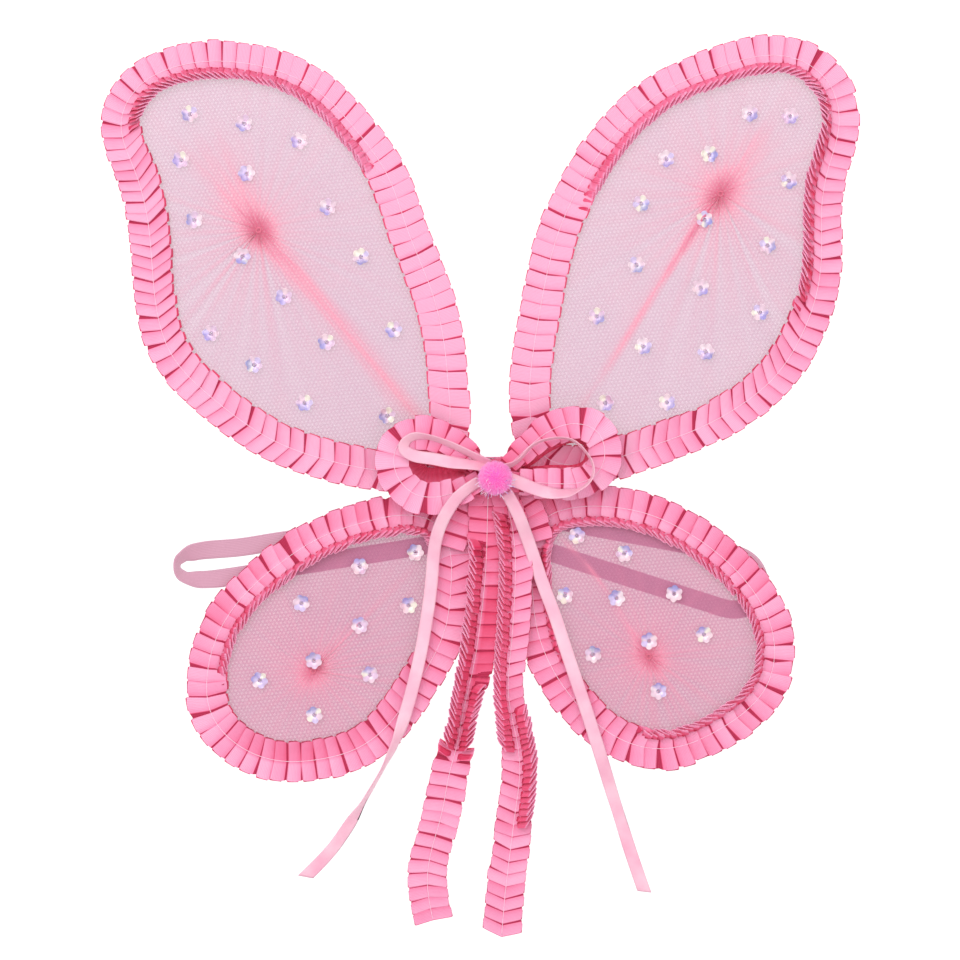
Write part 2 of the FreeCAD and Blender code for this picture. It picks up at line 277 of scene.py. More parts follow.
# ---- materials --------------------------------------------------------------------------------
def linear(red, green, blue):
    """Linear colour from the usual 0 to 255 values."""
    out = []
    for value in (red, green, blue):
        c = value / 255
        out.append(c / 12.92 if c <= 0.04045 else ((c + 0.055) / 1.055) ** 2.4)
    return tuple(out) + (1.0,)


class Shader:
    """Principled material with short ways to add and link nodes."""

    def __init__(self, name, **sockets):
        self.material = bpy.data.materials.new(name)
        self.material.use_nodes = True
        self.tree = self.material.node_tree
        self.main = self.tree.nodes["Principled BSDF"]
        for key, value in sockets.items():
            self.main.inputs[key.replace("_", " ")].default_value = value

    def node(self, kind, inputs=None, **settings):
        node = self.tree.nodes.new(kind)
        for key, value in settings.items():
            setattr(node, key, value)
        for key, value in (inputs or {}).items():
            if isinstance(value, bpy.types.NodeSocket):
                self.tree.links.new(value, node.inputs[key])
            else:
                node.inputs[key].default_value = value
        return node

    def math(self, operation, a, b=0.0, c=0.0):
        return self.node("ShaderNodeMath", {0: a, 1: b, 2: c}, operation=operation).outputs[0]

    def mix(self, share, a, b, blend="MIX"):
        node = self.node("ShaderNodeMix", data_type="RGBA", blend_type=blend)
        for index, value in ((0, share), (6, a), (7, b)):
            if isinstance(value, bpy.types.NodeSocket):
                self.tree.links.new(value, node.inputs[index])
            else:
                node.inputs[index].default_value = value
        return node.outputs[2]

    def ramp(self, share, stops):
        node = self.node("ShaderNodeValToRGB", {0: share})
        ramp = node.color_ramp
        while len(ramp.elements) < len(stops):
            ramp.elements.new(0.5)
        for element, (place, color) in zip(ramp.elements, stops):
            element.position = place
            element.color = color
        return node.outputs[0]

    def value(self, name):
        return self.node("ShaderNodeAttribute", attribute_name=name).outputs["Fac"]

    def color(self, name):
        return self.node("ShaderNodeAttribute", attribute_name=name).outputs["Color"]

    def uv(self):
        node = self.node("ShaderNodeUVMap")
        split = self.node("ShaderNodeSeparateXYZ", {0: node.outputs[0]})
        return split.outputs[0], split.outputs[1], node.outputs[0]

    def place(self):
        return self.node("ShaderNodeTexCoord").outputs["Object"]

    def noise(self, vector, scale, detail=3.0):
        return self.node("ShaderNodeTexNoise",
                         {"Vector": vector, "Scale": scale, "Detail": detail}).outputs["Fac"]

    def link(self, socket, to):
        self.tree.links.new(socket, self.main.inputs[to])

    def bump(self, height, distance, strength=1.0):
        node = self.node("ShaderNodeBump",
                         {"Height": height, "Distance": distance, "Strength": strength})
        self.link(node.outputs[0], "Normal")


def grosgrain_material():
    """Ribbed ribbon: fine ribs across its width with painted shade between them, painted shade as deeper
    pink in the folds, and painted highlight as paler pink on its edges.
    """
    s = Shader("grosgrain", Roughness=0.7, Specular_IOR_Level=0.2, Sheen_Weight=0.1,
               Sheen_Roughness=0.4)
    along, across, _ = s.uv()
    ribs = s.math("SINE", s.math("MULTIPLY", along, 2 * math.pi / 0.85))
    weave = s.math("SINE", s.math("MULTIPLY", across, 2 * math.pi / 0.6))
    cloudy = s.noise(s.place(), 90.0)
    # painted shade and highlight: the value on the points deepens the pink in folds and hollows and
    # pales it on the loops' edges; the noise adds a random tint
    shade_and_tint = s.math("ADD", s.value("shade_and_tint"), s.math("MULTIPLY", s.math("SUBTRACT", cloudy, 0.5), 0.22))
    pink = s.ramp(s.math("MULTIPLY", shade_and_tint, 0.8),
                  [(0.0, linear(254, 182, 214)), (0.18, linear(248, 156, 194)),
                   (0.4, linear(244, 124, 163)), (0.64, linear(236, 90, 128)),
                   (0.8, linear(222, 58, 98)), (1.0, linear(176, 34, 70))])
    # painted shade: the grooves between the ribs are darkened towards a deeper pink
    line = s.math("MULTIPLY_ADD", ribs, 0.5, 0.5)
    shade = s.mix(s.math("MULTIPLY", line, 0.24), pink, linear(226, 96, 140), "MIX")
    s.link(shade, "Base Color")
    height = s.math("ADD", ribs, s.math("MULTIPLY", weave, 0.25))
    s.bump(height, 0.00012, 0.55)
    return s.material


def net_material(name, thread, cover, ridge_cover, phase):
    """Hexagonal net: three sets of waves at 60 degrees make the holes, and gathers close them."""
    cell = 0.5
    s = Shader(name, Roughness=0.75, Specular_IOR_Level=0.15, Sheen_Weight=0.2)
    x, y, _ = s.uv()
    waves = None
    for angle in (0, 60, 120):
        a = math.radians(angle + phase)
        k = 2 * math.pi / (cell * math.sin(math.radians(60)))
        part = s.math("ADD", s.math("MULTIPLY", x, k * math.cos(a)),
                      s.math("MULTIPLY", y, k * math.sin(a)))
        wave = s.math("COSINE", part)
        waves = wave if waves is None else s.math("ADD", waves, wave)
    gather = s.value("gather")
    level = s.math("ADD", cover, s.math("MULTIPLY", gather, ridge_cover))
    edge = s.math("SUBTRACT", level, waves)
    alpha = s.math("MULTIPLY_ADD", edge, 0.25, 0.5)
    clamped = s.node("ShaderNodeClamp", {0: alpha, 1: 0.0, 2: 1.0}).outputs[0]
    s.link(clamped, "Alpha")
    cloudy = s.noise(s.place(), 45.0)
    deep = s.math("ADD", gather, s.math("MULTIPLY", s.math("SUBTRACT", cloudy, 0.5), 0.15))
    s.link(s.ramp(deep, [(0.0, thread), (0.4, linear(236, 146, 174)), (0.75, linear(230, 126, 156)),
                         (1.0, linear(222, 112, 142))]), "Base Color")
    return s.material


def satin_material():
    """Smooth satin ribbon with fine threads along it and a soft sheen."""
    s = Shader("satin", Roughness=0.33, Specular_IOR_Level=0.55, Sheen_Weight=0.35,
               Sheen_Roughness=0.3, Anisotropic=0.5)
    along, across, _ = s.uv()
    threads = s.math("SINE", s.math("MULTIPLY", across, 2 * math.pi / 0.35))
    picks = s.math("SINE", s.math("MULTIPLY", along, 2 * math.pi / 0.5))
    cloudy = s.noise(s.place(), 60.0)
    s.link(s.ramp(cloudy, [(0.3, linear(243, 170, 196)), (0.7, linear(252, 200, 217))]),
           "Base Color")
    s.bump(s.math("ADD", threads, s.math("MULTIPLY", picks, 0.4)), 0.00004, 0.5)
    return s.material


def elastic_material():
    """Satin-faced elastic: clear crosswise cords with painted shade in their grooves, and a slightly
    duller base colour lit by a painted glow, so that it stays pale in the nets' shade.
    """
    s = Shader("elastic", Roughness=0.5, Specular_IOR_Level=0.4, Sheen_Weight=0.2)
    along, across, _ = s.uv()
    cords = s.math("SINE", s.math("MULTIPLY", across, 2 * math.pi / 0.9))
    picks = s.math("SINE", s.math("MULTIPLY", along, 2 * math.pi / 0.7))
    height = s.math("ADD", cords, s.math("MULTIPLY", picks, 0.6))
    # painted shade: the grooves between the cords are darker
    s.link(s.ramp(s.math("MULTIPLY_ADD", height, 0.3, 0.5),
                  [(0.0, linear(155, 103, 125)), (1.0, linear(178, 132, 152))]), "Base Color")
    # painted glow: the strap gives off light of its own, which keeps it pale where the nets shade it
    s.main.inputs["Emission Color"].default_value = linear(236, 180, 200)
    s.main.inputs["Emission Strength"].default_value = 0.35
    s.bump(height, 0.00012, 0.6)
    return s.material


def steel_material():
    s = Shader("steel_wire", Metallic=1.0, Roughness=0.35)
    streaks = s.noise(s.place(), 900.0, 4.0)
    s.link(s.ramp(streaks, [(0.3, (0.42, 0.42, 0.44, 1)), (0.7, (0.68, 0.68, 0.70, 1))]),
           "Base Color")
    s.bump(streaks, 0.00003, 0.4)
    return s.material


def thread_material(name, color):
    s = Shader(name, Roughness=0.6, Sheen_Weight=0.3)
    twist = s.node("ShaderNodeTexWave", {"Vector": s.place(), "Scale": 900.0, "Distortion": 2.0})
    # painted highlight: the crests of the twist are painted paler
    pale = tuple(min(1.0, c * 1.2) for c in color[:3]) + (1,)
    s.link(s.mix(twist.outputs["Fac"], color, pale), "Base Color")
    s.bump(twist.outputs["Fac"], 0.00005, 0.6)
    return s.material


def felt_material():
    s = Shader("felt", Roughness=0.95, Specular_IOR_Level=0.1, Sheen_Weight=0.5)
    fuzz = s.noise(s.place(), 1400.0, 6.0)
    s.link(s.ramp(fuzz, [(0.3, linear(226, 120, 158)), (0.7, linear(246, 156, 188))]), "Base Color")
    s.bump(fuzz, 0.0003, 0.8)
    return s.material


def sequin_material():
    """Iridescent film: each petal's own tint with painted violet reflection and painted shade, paler
    where the film ripples as painted sheen, with a hard gloss.
    """
    s = Shader("sequin_film", Roughness=0.12, Specular_IOR_Level=0.8, Coat_Weight=0.8,
               Coat_Roughness=0.06, Metallic=0.12)
    ripple = s.noise(s.place(), 700.0, 2.0)
    # painted sheen: the film is whitened where it ripples
    s.link(s.mix(s.math("MULTIPLY", ripple, 0.35), s.color("petal"), linear(255, 246, 250)),
           "Base Color")
    s.bump(ripple, 0.0002, 0.35)
    return s.material


def bead_material():
    s = Shader("clear_bead", Roughness=0.05, Transmission_Weight=0.65, IOR=1.5)
    swirl = s.noise(s.place(), 1500.0, 2.0)
    s.link(s.ramp(swirl, [(0.3, linear(170, 140, 178)), (0.7, linear(236, 222, 240))]),
           "Base Color")
    return s.material


def yarn_material():
    s = Shader("pom_yarn", Roughness=0.8, Specular_IOR_Level=0.2, Sheen_Weight=0.6)
    # painted shade: the value on the points is low deep inside the pom and high at the fibre tips
    depth = s.value("shade_and_tint")
    patch = s.noise(s.place(), 350.0, 3.0)
    mixed = s.math("ADD", depth, s.math("MULTIPLY", s.math("SUBTRACT", patch, 0.5), 0.5))
    s.link(s.ramp(mixed, [(0.0, linear(248, 88, 186)), (0.5, linear(255, 126, 208)),
                          (1.0, linear(255, 176, 230))]), "Base Color")
    # painted glow: the yarn gives off a little light of its own, which brightens it
    s.main.inputs["Emission Color"].default_value = linear(255, 90, 190)
    s.main.inputs["Emission Strength"].default_value = 0.14
    return s.material


def tinsel_material():
    s = Shader("tinsel_foil", Metallic=0.25, Roughness=0.2, Specular_IOR_Level=0.9)
    shift = s.noise(s.place(), 420.0, 1.0)
    s.link(s.ramp(shift, [(0.3, linear(186, 160, 246)), (0.5, linear(255, 244, 255)),
                          (0.7, linear(255, 196, 228))]), "Base Color")
    return s.material


def floor_material():
    s = Shader("floor", Roughness=0.9, Specular_IOR_Level=0.05)
    s.main.inputs["Base Color"].default_value = (0.45, 0.45, 0.45, 1)
    s.main.inputs["Emission Color"].default_value = (1, 1, 1, 1)
    s.main.inputs["Emission Strength"].default_value = 0.72
    return s.material


GROSGRAIN = grosgrain_material()
SATIN = satin_material()
ELASTIC = elastic_material()
STEEL = steel_material()
TIE_THREAD = thread_material("tie_thread", linear(222, 110, 138))
STITCH_THREAD = thread_material("stitch_thread", linear(250, 196, 218))
FELT = felt_material()
SEQUIN = sequin_material()
BEAD = bead_material()
YARN = yarn_material()
TINSEL = tinsel_material()

# ---- satin tails: the cords ------------------------------------------------------------------
SATIN_WIDTH = 0.007
SATIN_THICKNESS = 0.00035
SATIN_TAILS = {
    "left": [(-6.5, -3.5, 21.4), (-15.5, -8.5, 22.6), (-24, -19.5, 21.6), (-29.3, -31, 15.5),
        (-31.5, -43, 11.5), (-32.5, -59, 10.4), (-35, -78, 10.5), (-38.5, -98, 10.2),
        (-43.5, -119, 10.3), (-49, -138, 10.2), (-55, -153, 9.4), (-61.5, -165.5, 5.6), (-69.5, -179, 2),
        (-79, -194.5, 1.2), (-89.5, -209.5, 1.1), (-102.3, -221.7, 1.15)],
    "right": [(8.4, -9.5, 21.4), (13, -17.5, 22.4), (16.5, -25.5, 20), (19.5, -33.5, 14.2),
        (23.5, -45, 11), (28.5, -60, 10.4), (35.5, -78, 10.4), (41.5, -97, 10.2), (48, -116, 10.3),
        (54, -134, 10.4), (59, -150, 10.1), (63, -163, 6.4), (66.5, -174.5, 2.6), (71.5, -190, 1.15),
        (77.5, -209.5, 1.1), (84.7, -229.9, 1.15)],
}
# How far each tail is turned on its edge along its length, in degrees.
SATIN_TURNS = {
    "left": [(0, 35), (0.12, 12), (0.3, 0), (0.55, 0), (0.64, 55), (0.7, 74), (0.78, 70), (0.86, 20),
        (1, 5)],
    "right": [(0, -20), (0.12, 0), (0.6, 0), (0.7, 10), (0.8, 24), (0.9, 8), (1, 0)],
}


def nurbs_points(name, route):
    """Points along the smooth curve whose control points are the route."""
    data = bpy.data.curves.new(name + "_route", "CURVE")
    data.dimensions = "3D"
    data.resolution_u = 24
    spline = data.splines.new("NURBS")
    spline.points.add(len(route) - 1)
    for point, (x, y, z) in zip(spline.points, route):
        point.co = (x * MM, y * MM, z * MM, 1)
    spline.order_u = 3
    spline.use_endpoint_u = True
    holder = bpy.data.objects.new(name + "_route", data)
    mesh = bpy.data.meshes.new_from_object(holder)
    found = np.array([v.co for v in mesh.vertices], float)
    bpy.data.meshes.remove(mesh)
    bpy.data.objects.remove(holder)
    return found


def ribbon_mesh(line, width, thickness, turn, step, crown=0.0, slant=0.0):
    """Closed flat band along a line, turned about it by keyed degrees."""
    count = max(8, int(round(line.length / step)) + 1)
    s = np.linspace(0, line.length, count)
    centre = line.at(s)
    along = unit(line.direction(s))
    side = unit(np.cross(along, np.broadcast_to((0, 0, 1), along.shape)))
    over = np.cross(side, along)
    angle = np.radians(keyed(s / line.length, turn))[:, None]
    across = side * np.cos(angle) + over * np.sin(angle)
    normal = np.cross(across, along)
    profile = np.linspace(-0.5, 0.5, 9)
    rows = []
    uv = []
    for half, sign in ((profile, 1), (profile[::-1], -1)):
        for v in half:
            bow = crown * (1 - (2 * v) ** 2)
            lean = slant * v * ease((s / line.length - 0.9) / 0.1)
            rows.append(centre + across * (v * width) + along * (lean * width)[:, None]
                        + normal * (sign * thickness / 2 + bow))
            uv.append(np.stack([s / MM, np.full(count, v * width / MM)], -1))
    points = np.stack(rows, 1).reshape(-1, 3)
    return points, capped_faces(count, len(rows)), np.stack(uv, 1).reshape(-1, 2), centre


def make_satin_tails():
    for side, route in SATIN_TAILS.items():
        name = "satin_ribbon_tail_" + side
        line = Line.through(nurbs_points(name, route))
        slant = 0.7 if side == "left" else -0.5
        points, faces, uv, centre = ribbon_mesh(line, SATIN_WIDTH, SATIN_THICKNESS,
                                                SATIN_TURNS[side], 0.0015, crown=0.00025,
                                                slant=slant)
        points[:, 2] = np.maximum(points[:, 2], 0.0002)
        piece = mesh_piece(name, points, faces, SATIN, uv=uv)
        settle(piece, "root", "satin_tail_" + side)


make_satin_tails()

# ---- wings ------------------------------------------------------------------------------------
WINGS = {
    "upper_left": {
        "line": [(-23, 26), (-23.5, 50), (-26, 74), (-33.8, 104.5), (-45.5, 134), (-57, 165),
            (-73.5, 189), (-100, 214.5), (-134, 226.5), (-168.5, 226), (-194, 213.5), (-203.4, 195),
            (-195.8, 167), (-187.5, 129), (-184.8, 97), (-175.8, 66.5), (-153.5, 42.6), (-119.5, 19),
            (-83.3, 6.6), (-55, 2), (-32, 6)],
        "tie": (-128, 135),
        "ridge": [(-166, 196), (-150, 170), (-128, 135), (-100, 103), (-65, 61), (-36, 26)],
        "ridge_width": [(0, 14), (0.2, 12), (0.33, 8.5), (0.4, 5.4), (0.6, 5), (0.85, 5.2), (1, 5)],
        "ridge_depth": [(0, 0), (0.14, 0.2), (0.3, 0.44), (0.4, 0.5), (0.8, 0.42), (1, 0.34)],
        "glow": 8,
        "crease_turn": -110,
        "loops": (5.2, 0.34),
        "pitch": [(0, 10), (0.08, 8.4), (0.3, 7.7), (0.45, 7.6), (0.55, 6.2), (0.66, 6.6), (0.74, 8.2),
            (0.85, 8.8), (1, 9)],
        "rise": [(0, 8), (0.1, 10), (0.22, 12), (0.25, 34), (0.33, 44), (0.47, 46), (0.5, 36),
            (0.53, 12), (0.7, 12), (1, 6)],
        "lean_in": [(0, 0.33), (0.06, 0.15), (0.12, 0), (0.3, 0.05), (0.5, -0.3), (0.56, -0.6),
            (0.66, -0.55), (0.72, -0.2), (0.82, -0.3), (0.9, -0.15), (1, 0)],
        "lean_out": [(0, -0.1), (0.12, 0.1), (0.3, 0.1), (0.45, 0), (0.56, -0.25), (0.66, -0.3),
            (0.72, 0), (0.78, -0.3), (0.84, -0.5), (0.9, -0.25), (1, -0.1)],
        "peep": [(0, 0.05), (0.5, 0.06), (0.72, 0.08), (0.8, 0.03), (1, 0.03)],
        "wild": [(0, 0.6), (0.3, 0.8), (1, 0.8)],
        "deep_in": [(0, -0.1), (0.3, -0.1), (0.34, 0.0), (0.5, 0.04), (1, 0.04)],
        "deep_out": [(0, -0.14), (0.3, -0.14), (0.5, 0.0), (0.76, 0.04), (1, 0.02)],
        "sequins": [(-165.7, 198.8), (-135.9, 193.7), (-105.4, 183.8), (-170.6, 173.5), (-134.4, 166.1),
            (-89.8, 147.6), (-163.2, 140.5), (-136.8, 120.5), (-71.6, 120.3), (-113.9, 98.2),
            (-53.5, 80.1), (-154.2, 78.1), (-90.5, 73.2), (-130.4, 60.8), (-102.6, 39.8), (-57, 32.8)],
        "petal_turn": 215,
    },
    "upper_right": {
        "line": [(22, 30), (23, 66), (28.5, 99), (35, 127), (48.5, 159), (70, 190), (93, 210),
            (123, 223.5), (152, 231), (173, 227), (187.5, 213), (191.5, 192), (185.5, 168), (182, 146),
            (182, 122), (178.5, 97), (170, 75), (157, 55), (137.5, 38.5), (115, 26), (91.5, 17), (68, 9),
            (46, 5.5), (30, 10)],
        "tie": (126.5, 155),
        "ridge": [(156, 200), (143, 177), (126.5, 155), (113, 135), (92, 103), (70, 68), (46, 32)],
        "ridge_width": [(0, 9), (0.2, 7), (0.3, 5.5), (0.36, 3.4), (0.5, 2.2), (1, 2)],
        "ridge_depth": [(0, 0), (0.12, 0.2), (0.27, 0.34), (0.4, 0.62), (0.75, 0.42), (1, 0.16)],
        "glow": 11,
        "crease_turn": -80,
        "loops": (5.2, 0.4),
        "pitch": [(0, 9.5), (0.1, 8.5), (0.3, 8), (0.45, 8), (0.55, 7.5), (0.7, 7.7), (0.85, 8.3),
            (1, 8.8)],
        "rise": [(0, 8), (0.1, 10), (0.18, 12), (0.22, 34), (0.3, 42), (0.36, 48), (0.49, 50),
            (0.52, 46), (0.58, 40), (0.66, 38), (0.7, 12), (1, 8)],
        "lean_in": [(0, 0.18), (0.1, 0.1), (0.3, 0.2), (0.45, 0.1), (0.52, -0.5), (0.62, -0.6),
            (0.72, -0.5), (0.85, -0.45), (1, -0.3)],
        "lean_out": [(0, 0.15), (0.1, 0.05), (0.5, 0), (0.6, -0.2), (0.7, -0.05), (0.85, -0.2),
            (1, -0.2)],
        "peep": [(0, 0.05), (0.5, 0.06), (0.72, 0.07), (0.8, 0.03), (1, 0.03)],
        "wild": [(0, 0.6), (0.3, 0.8), (0.4, 1.2), (0.6, 0.8), (1, 0.8)],
        "deep_in": [(0, -0.1), (0.3, -0.06), (0.5, 0.04), (0.72, 0.06), (1, 0.06)],
        "deep_out": [(0, -0.1), (0.3, -0.1), (0.5, 0.02), (0.76, 0.06), (1, 0.04)],
        "sequins": [(142.4, 199), (164.5, 197.6), (96.4, 174.1), (120.2, 176.6), (164, 162.1),
            (82.6, 149.5), (117.5, 140.8), (152.2, 126.5), (80, 115.8), (115.4, 103.2), (58.2, 87.5),
            (148, 89.6), (83.8, 71), (118.3, 67.9), (63, 39.8), (96.8, 40.1)],
        "petal_turn": 320,
    },
    "lower_left": {
        "line": [(-22.5, -42), (-22, -62), (-25, -84), (-34.5, -105), (-45, -122), (-58, -139),
            (-75, -151), (-95, -156.5), (-118, -157), (-140, -148), (-154, -131), (-156, -109),
            (-148.5, -84), (-131, -61), (-112, -45.5), (-91, -33), (-68, -25.5), (-46, -22), (-30, -27)],
        "tie": (-98, -108),
        "ridge": [(-112, -124), (-98, -108), (-80, -88), (-58, -64), (-36, -42)],
        "ridge_width": [(0, 4), (0.2, 4), (0.5, 3), (1, 2.4)],
        "ridge_depth": [(0, 0), (0.16, 0.2), (0.4, 0.16), (0.6, 0.06), (1, 0)],
        "glow": 8,
        "crease_turn": 10,
        "loops": (4.6, 0.5),
        "pitch": [(0, 7.7), (0.1, 8.2), (0.4, 7.6), (0.6, 8.2), (1, 8)],
        "rise": [(0, 12), (0.2, 8), (0.5, 8), (0.55, 12), (0.58, 38), (0.62, 44), (0.68, 46), (0.9, 48),
            (0.96, 40), (1, 12)],
        "lean_in": [(0, -0.4), (0.2, -0.2), (0.3, 0), (0.5, 0.1), (1, 0.1)],
        "lean_out": [(0, -0.4), (0.12, -0.1), (0.3, 0), (0.6, 0.1), (1, 0.15)],
        "peep": [(0, 0.03), (0.45, 0.03), (0.55, 0.06), (1, 0.06)],
        "wild": [(0, 0.8), (0.6, 0.9), (0.7, 1.5), (1, 1.4)],
        "deep_in": [(0, 0.16), (0.2, 0.16), (0.3, 0.36), (0.42, 0.4), (0.5, 0.1), (1, 0.1)],
        "deep_out": [(0, 0.16), (0.3, 0.12), (0.5, 0.02), (0.7, 0.24), (1, 0.24)],
        "sequins": [(-72.2, -50.2), (-41.5, -42.5), (-104.4, -70.5), (-45.3, -71.7), (-72.2, -82.7),
            (-97.5, -102.1), (-66.6, -109.8), (-127.3, -112.9), (-97.2, -132)],
        "petal_turn": 120,
    },
    "lower_right": {
        "line": [(22.5, -38), (22.5, -60), (24.5, -80), (32, -103), (45, -123), (64, -141), (86, -150),
            (105, -149), (122, -142), (137, -132.5), (150, -119), (156, -100), (153, -80), (143, -62),
            (127, -45), (108, -31.5), (88, -22), (66, -17.5), (45, -18), (30, -24)],
        "tie": (87, -100),
        "ridge": [(100, -116), (87, -100), (74, -80), (58, -56), (34, -30)],
        "ridge_width": [(0, 4), (0.2, 4), (0.4, 2), (1, 1.3)],
        "ridge_depth": [(0, 0), (0.16, 0.25), (0.4, 0.32), (0.8, 0.36), (1, 0.3)],
        "glow": 9,
        "crease_turn": -60,
        "loops": (4.6, 0.5),
        "pitch": [(0, 7.4), (0.3, 8), (0.6, 7.8), (0.8, 8.6), (1, 8.4)],
        "rise": [(0, 34), (0.14, 36), (0.18, 12), (0.3, 12), (0.34, 42), (0.46, 46), (0.6, 48),
            (0.68, 46), (0.78, 44), (0.88, 40), (1, 32)],
        "lean_in": [(0, -0.1), (0.2, 0.05), (0.35, 0.1), (0.6, 0.1), (1, 0.05)],
        "lean_out": [(0, -0.2), (0.2, 0), (0.4, 0.1), (0.6, 0.1), (1, 0)],
        "peep": [(0, 0.05), (0.3, 0.03), (0.5, 0.06), (1, 0.06)],
        "wild": [(0, 0.8), (0.3, 1), (0.4, 1.4), (0.6, 1.4), (0.7, 0.9), (1, 0.8)],
        "deep_in": [(0, 0.3), (0.2, 0.2), (0.35, 0.16), (0.5, 0.1), (0.7, 0.04), (1, 0.04)],
        "deep_out": [(0, 0.24), (0.25, 0.16), (0.4, 0.24), (0.55, 0.12), (0.7, 0.22), (1, 0.26)],
        "sequins": [(47.3, -33.3), (73.3, -43.2), (40.7, -66.3), (69.2, -67.7), (100.8, -65.2),
            (117.3, -87.8), (87, -91.3), (56.2, -98.6), (92.2, -118.9)],
        "petal_turn": 100,
    },
}
# The thread colours are the net's own pink, darkened by painted shade among the threads.
NET_LOOKS = {
    "upper": {"thread": linear(198, 144, 175), "cover": -0.55, "ridge_cover": 2.04},
    "lower": {"thread": linear(200, 125, 160), "cover": -0.06, "ridge_cover": 2.05},
}


# ---- pleated ribbon -----------------------------------------------------------------------------
# One knife pleat pressed flat. Each row is the place along the line, the height and the painted
# shade there: deep in the crease, where the fold above casts its shadow, and on the under layers,
# and lighter on the fold's edge as a painted highlight. Places are in pleat widths.
PRESSED = np.array([
    (0.00, 0.10, 1.30), (0.20, 0.17, 1.30), (0.26, 0.20, 0.24), (0.55, 0.36, 0.06),
    (0.90, 0.54, 0.00), (1.09, 0.64, -0.04), (1.15, 0.58, 0.40), (1.11, 0.47, 1.00),
    (0.90, 0.38, 1.00), (0.55, 0.25, 1.00), (0.42, 0.16, 1.00), (0.48, 0.05, 1.00),
    (0.76, 0.05, 1.00)])
# The same pleat where it stands and opens: its two folds make two loops. Heights are shares of
# a loop, measured from the sewn side to the free side. The third value is the painted shade,
# deepest at the loops' feet and inside them, palest at their tips.
OPENED = np.array([
    (0.02, 0.06, 0.62), (-0.04, 0.52, 0.34), (0.05, 0.88, 0.18), (0.24, 1.00, 0.12),
    (0.42, 0.84, 0.24), (0.42, 0.42, 0.46), (0.49, 0.04, 0.62), (0.45, 0.46, 0.36),
    (0.55, 0.88, 0.20), (0.75, 1.00, 0.12), (0.93, 0.82, 0.26), (0.91, 0.40, 0.48),
    (0.97, 0.05, 0.62)])
FAN = 0.85                  # how far a pleat turns with its line, from start to end
LOOP_LEAN = 0.9             # how far an open loop leans back over its height, in pleat widths
LOOP_FOOT = 0.62            # share of an open loop's height that lies level with its line
SHEET_FULLNESS = 2.7        # ribbon length over pleated length
RIBBON_THICKNESS = 0.00034
LEVEL = [(0, 0), (1, 0)]


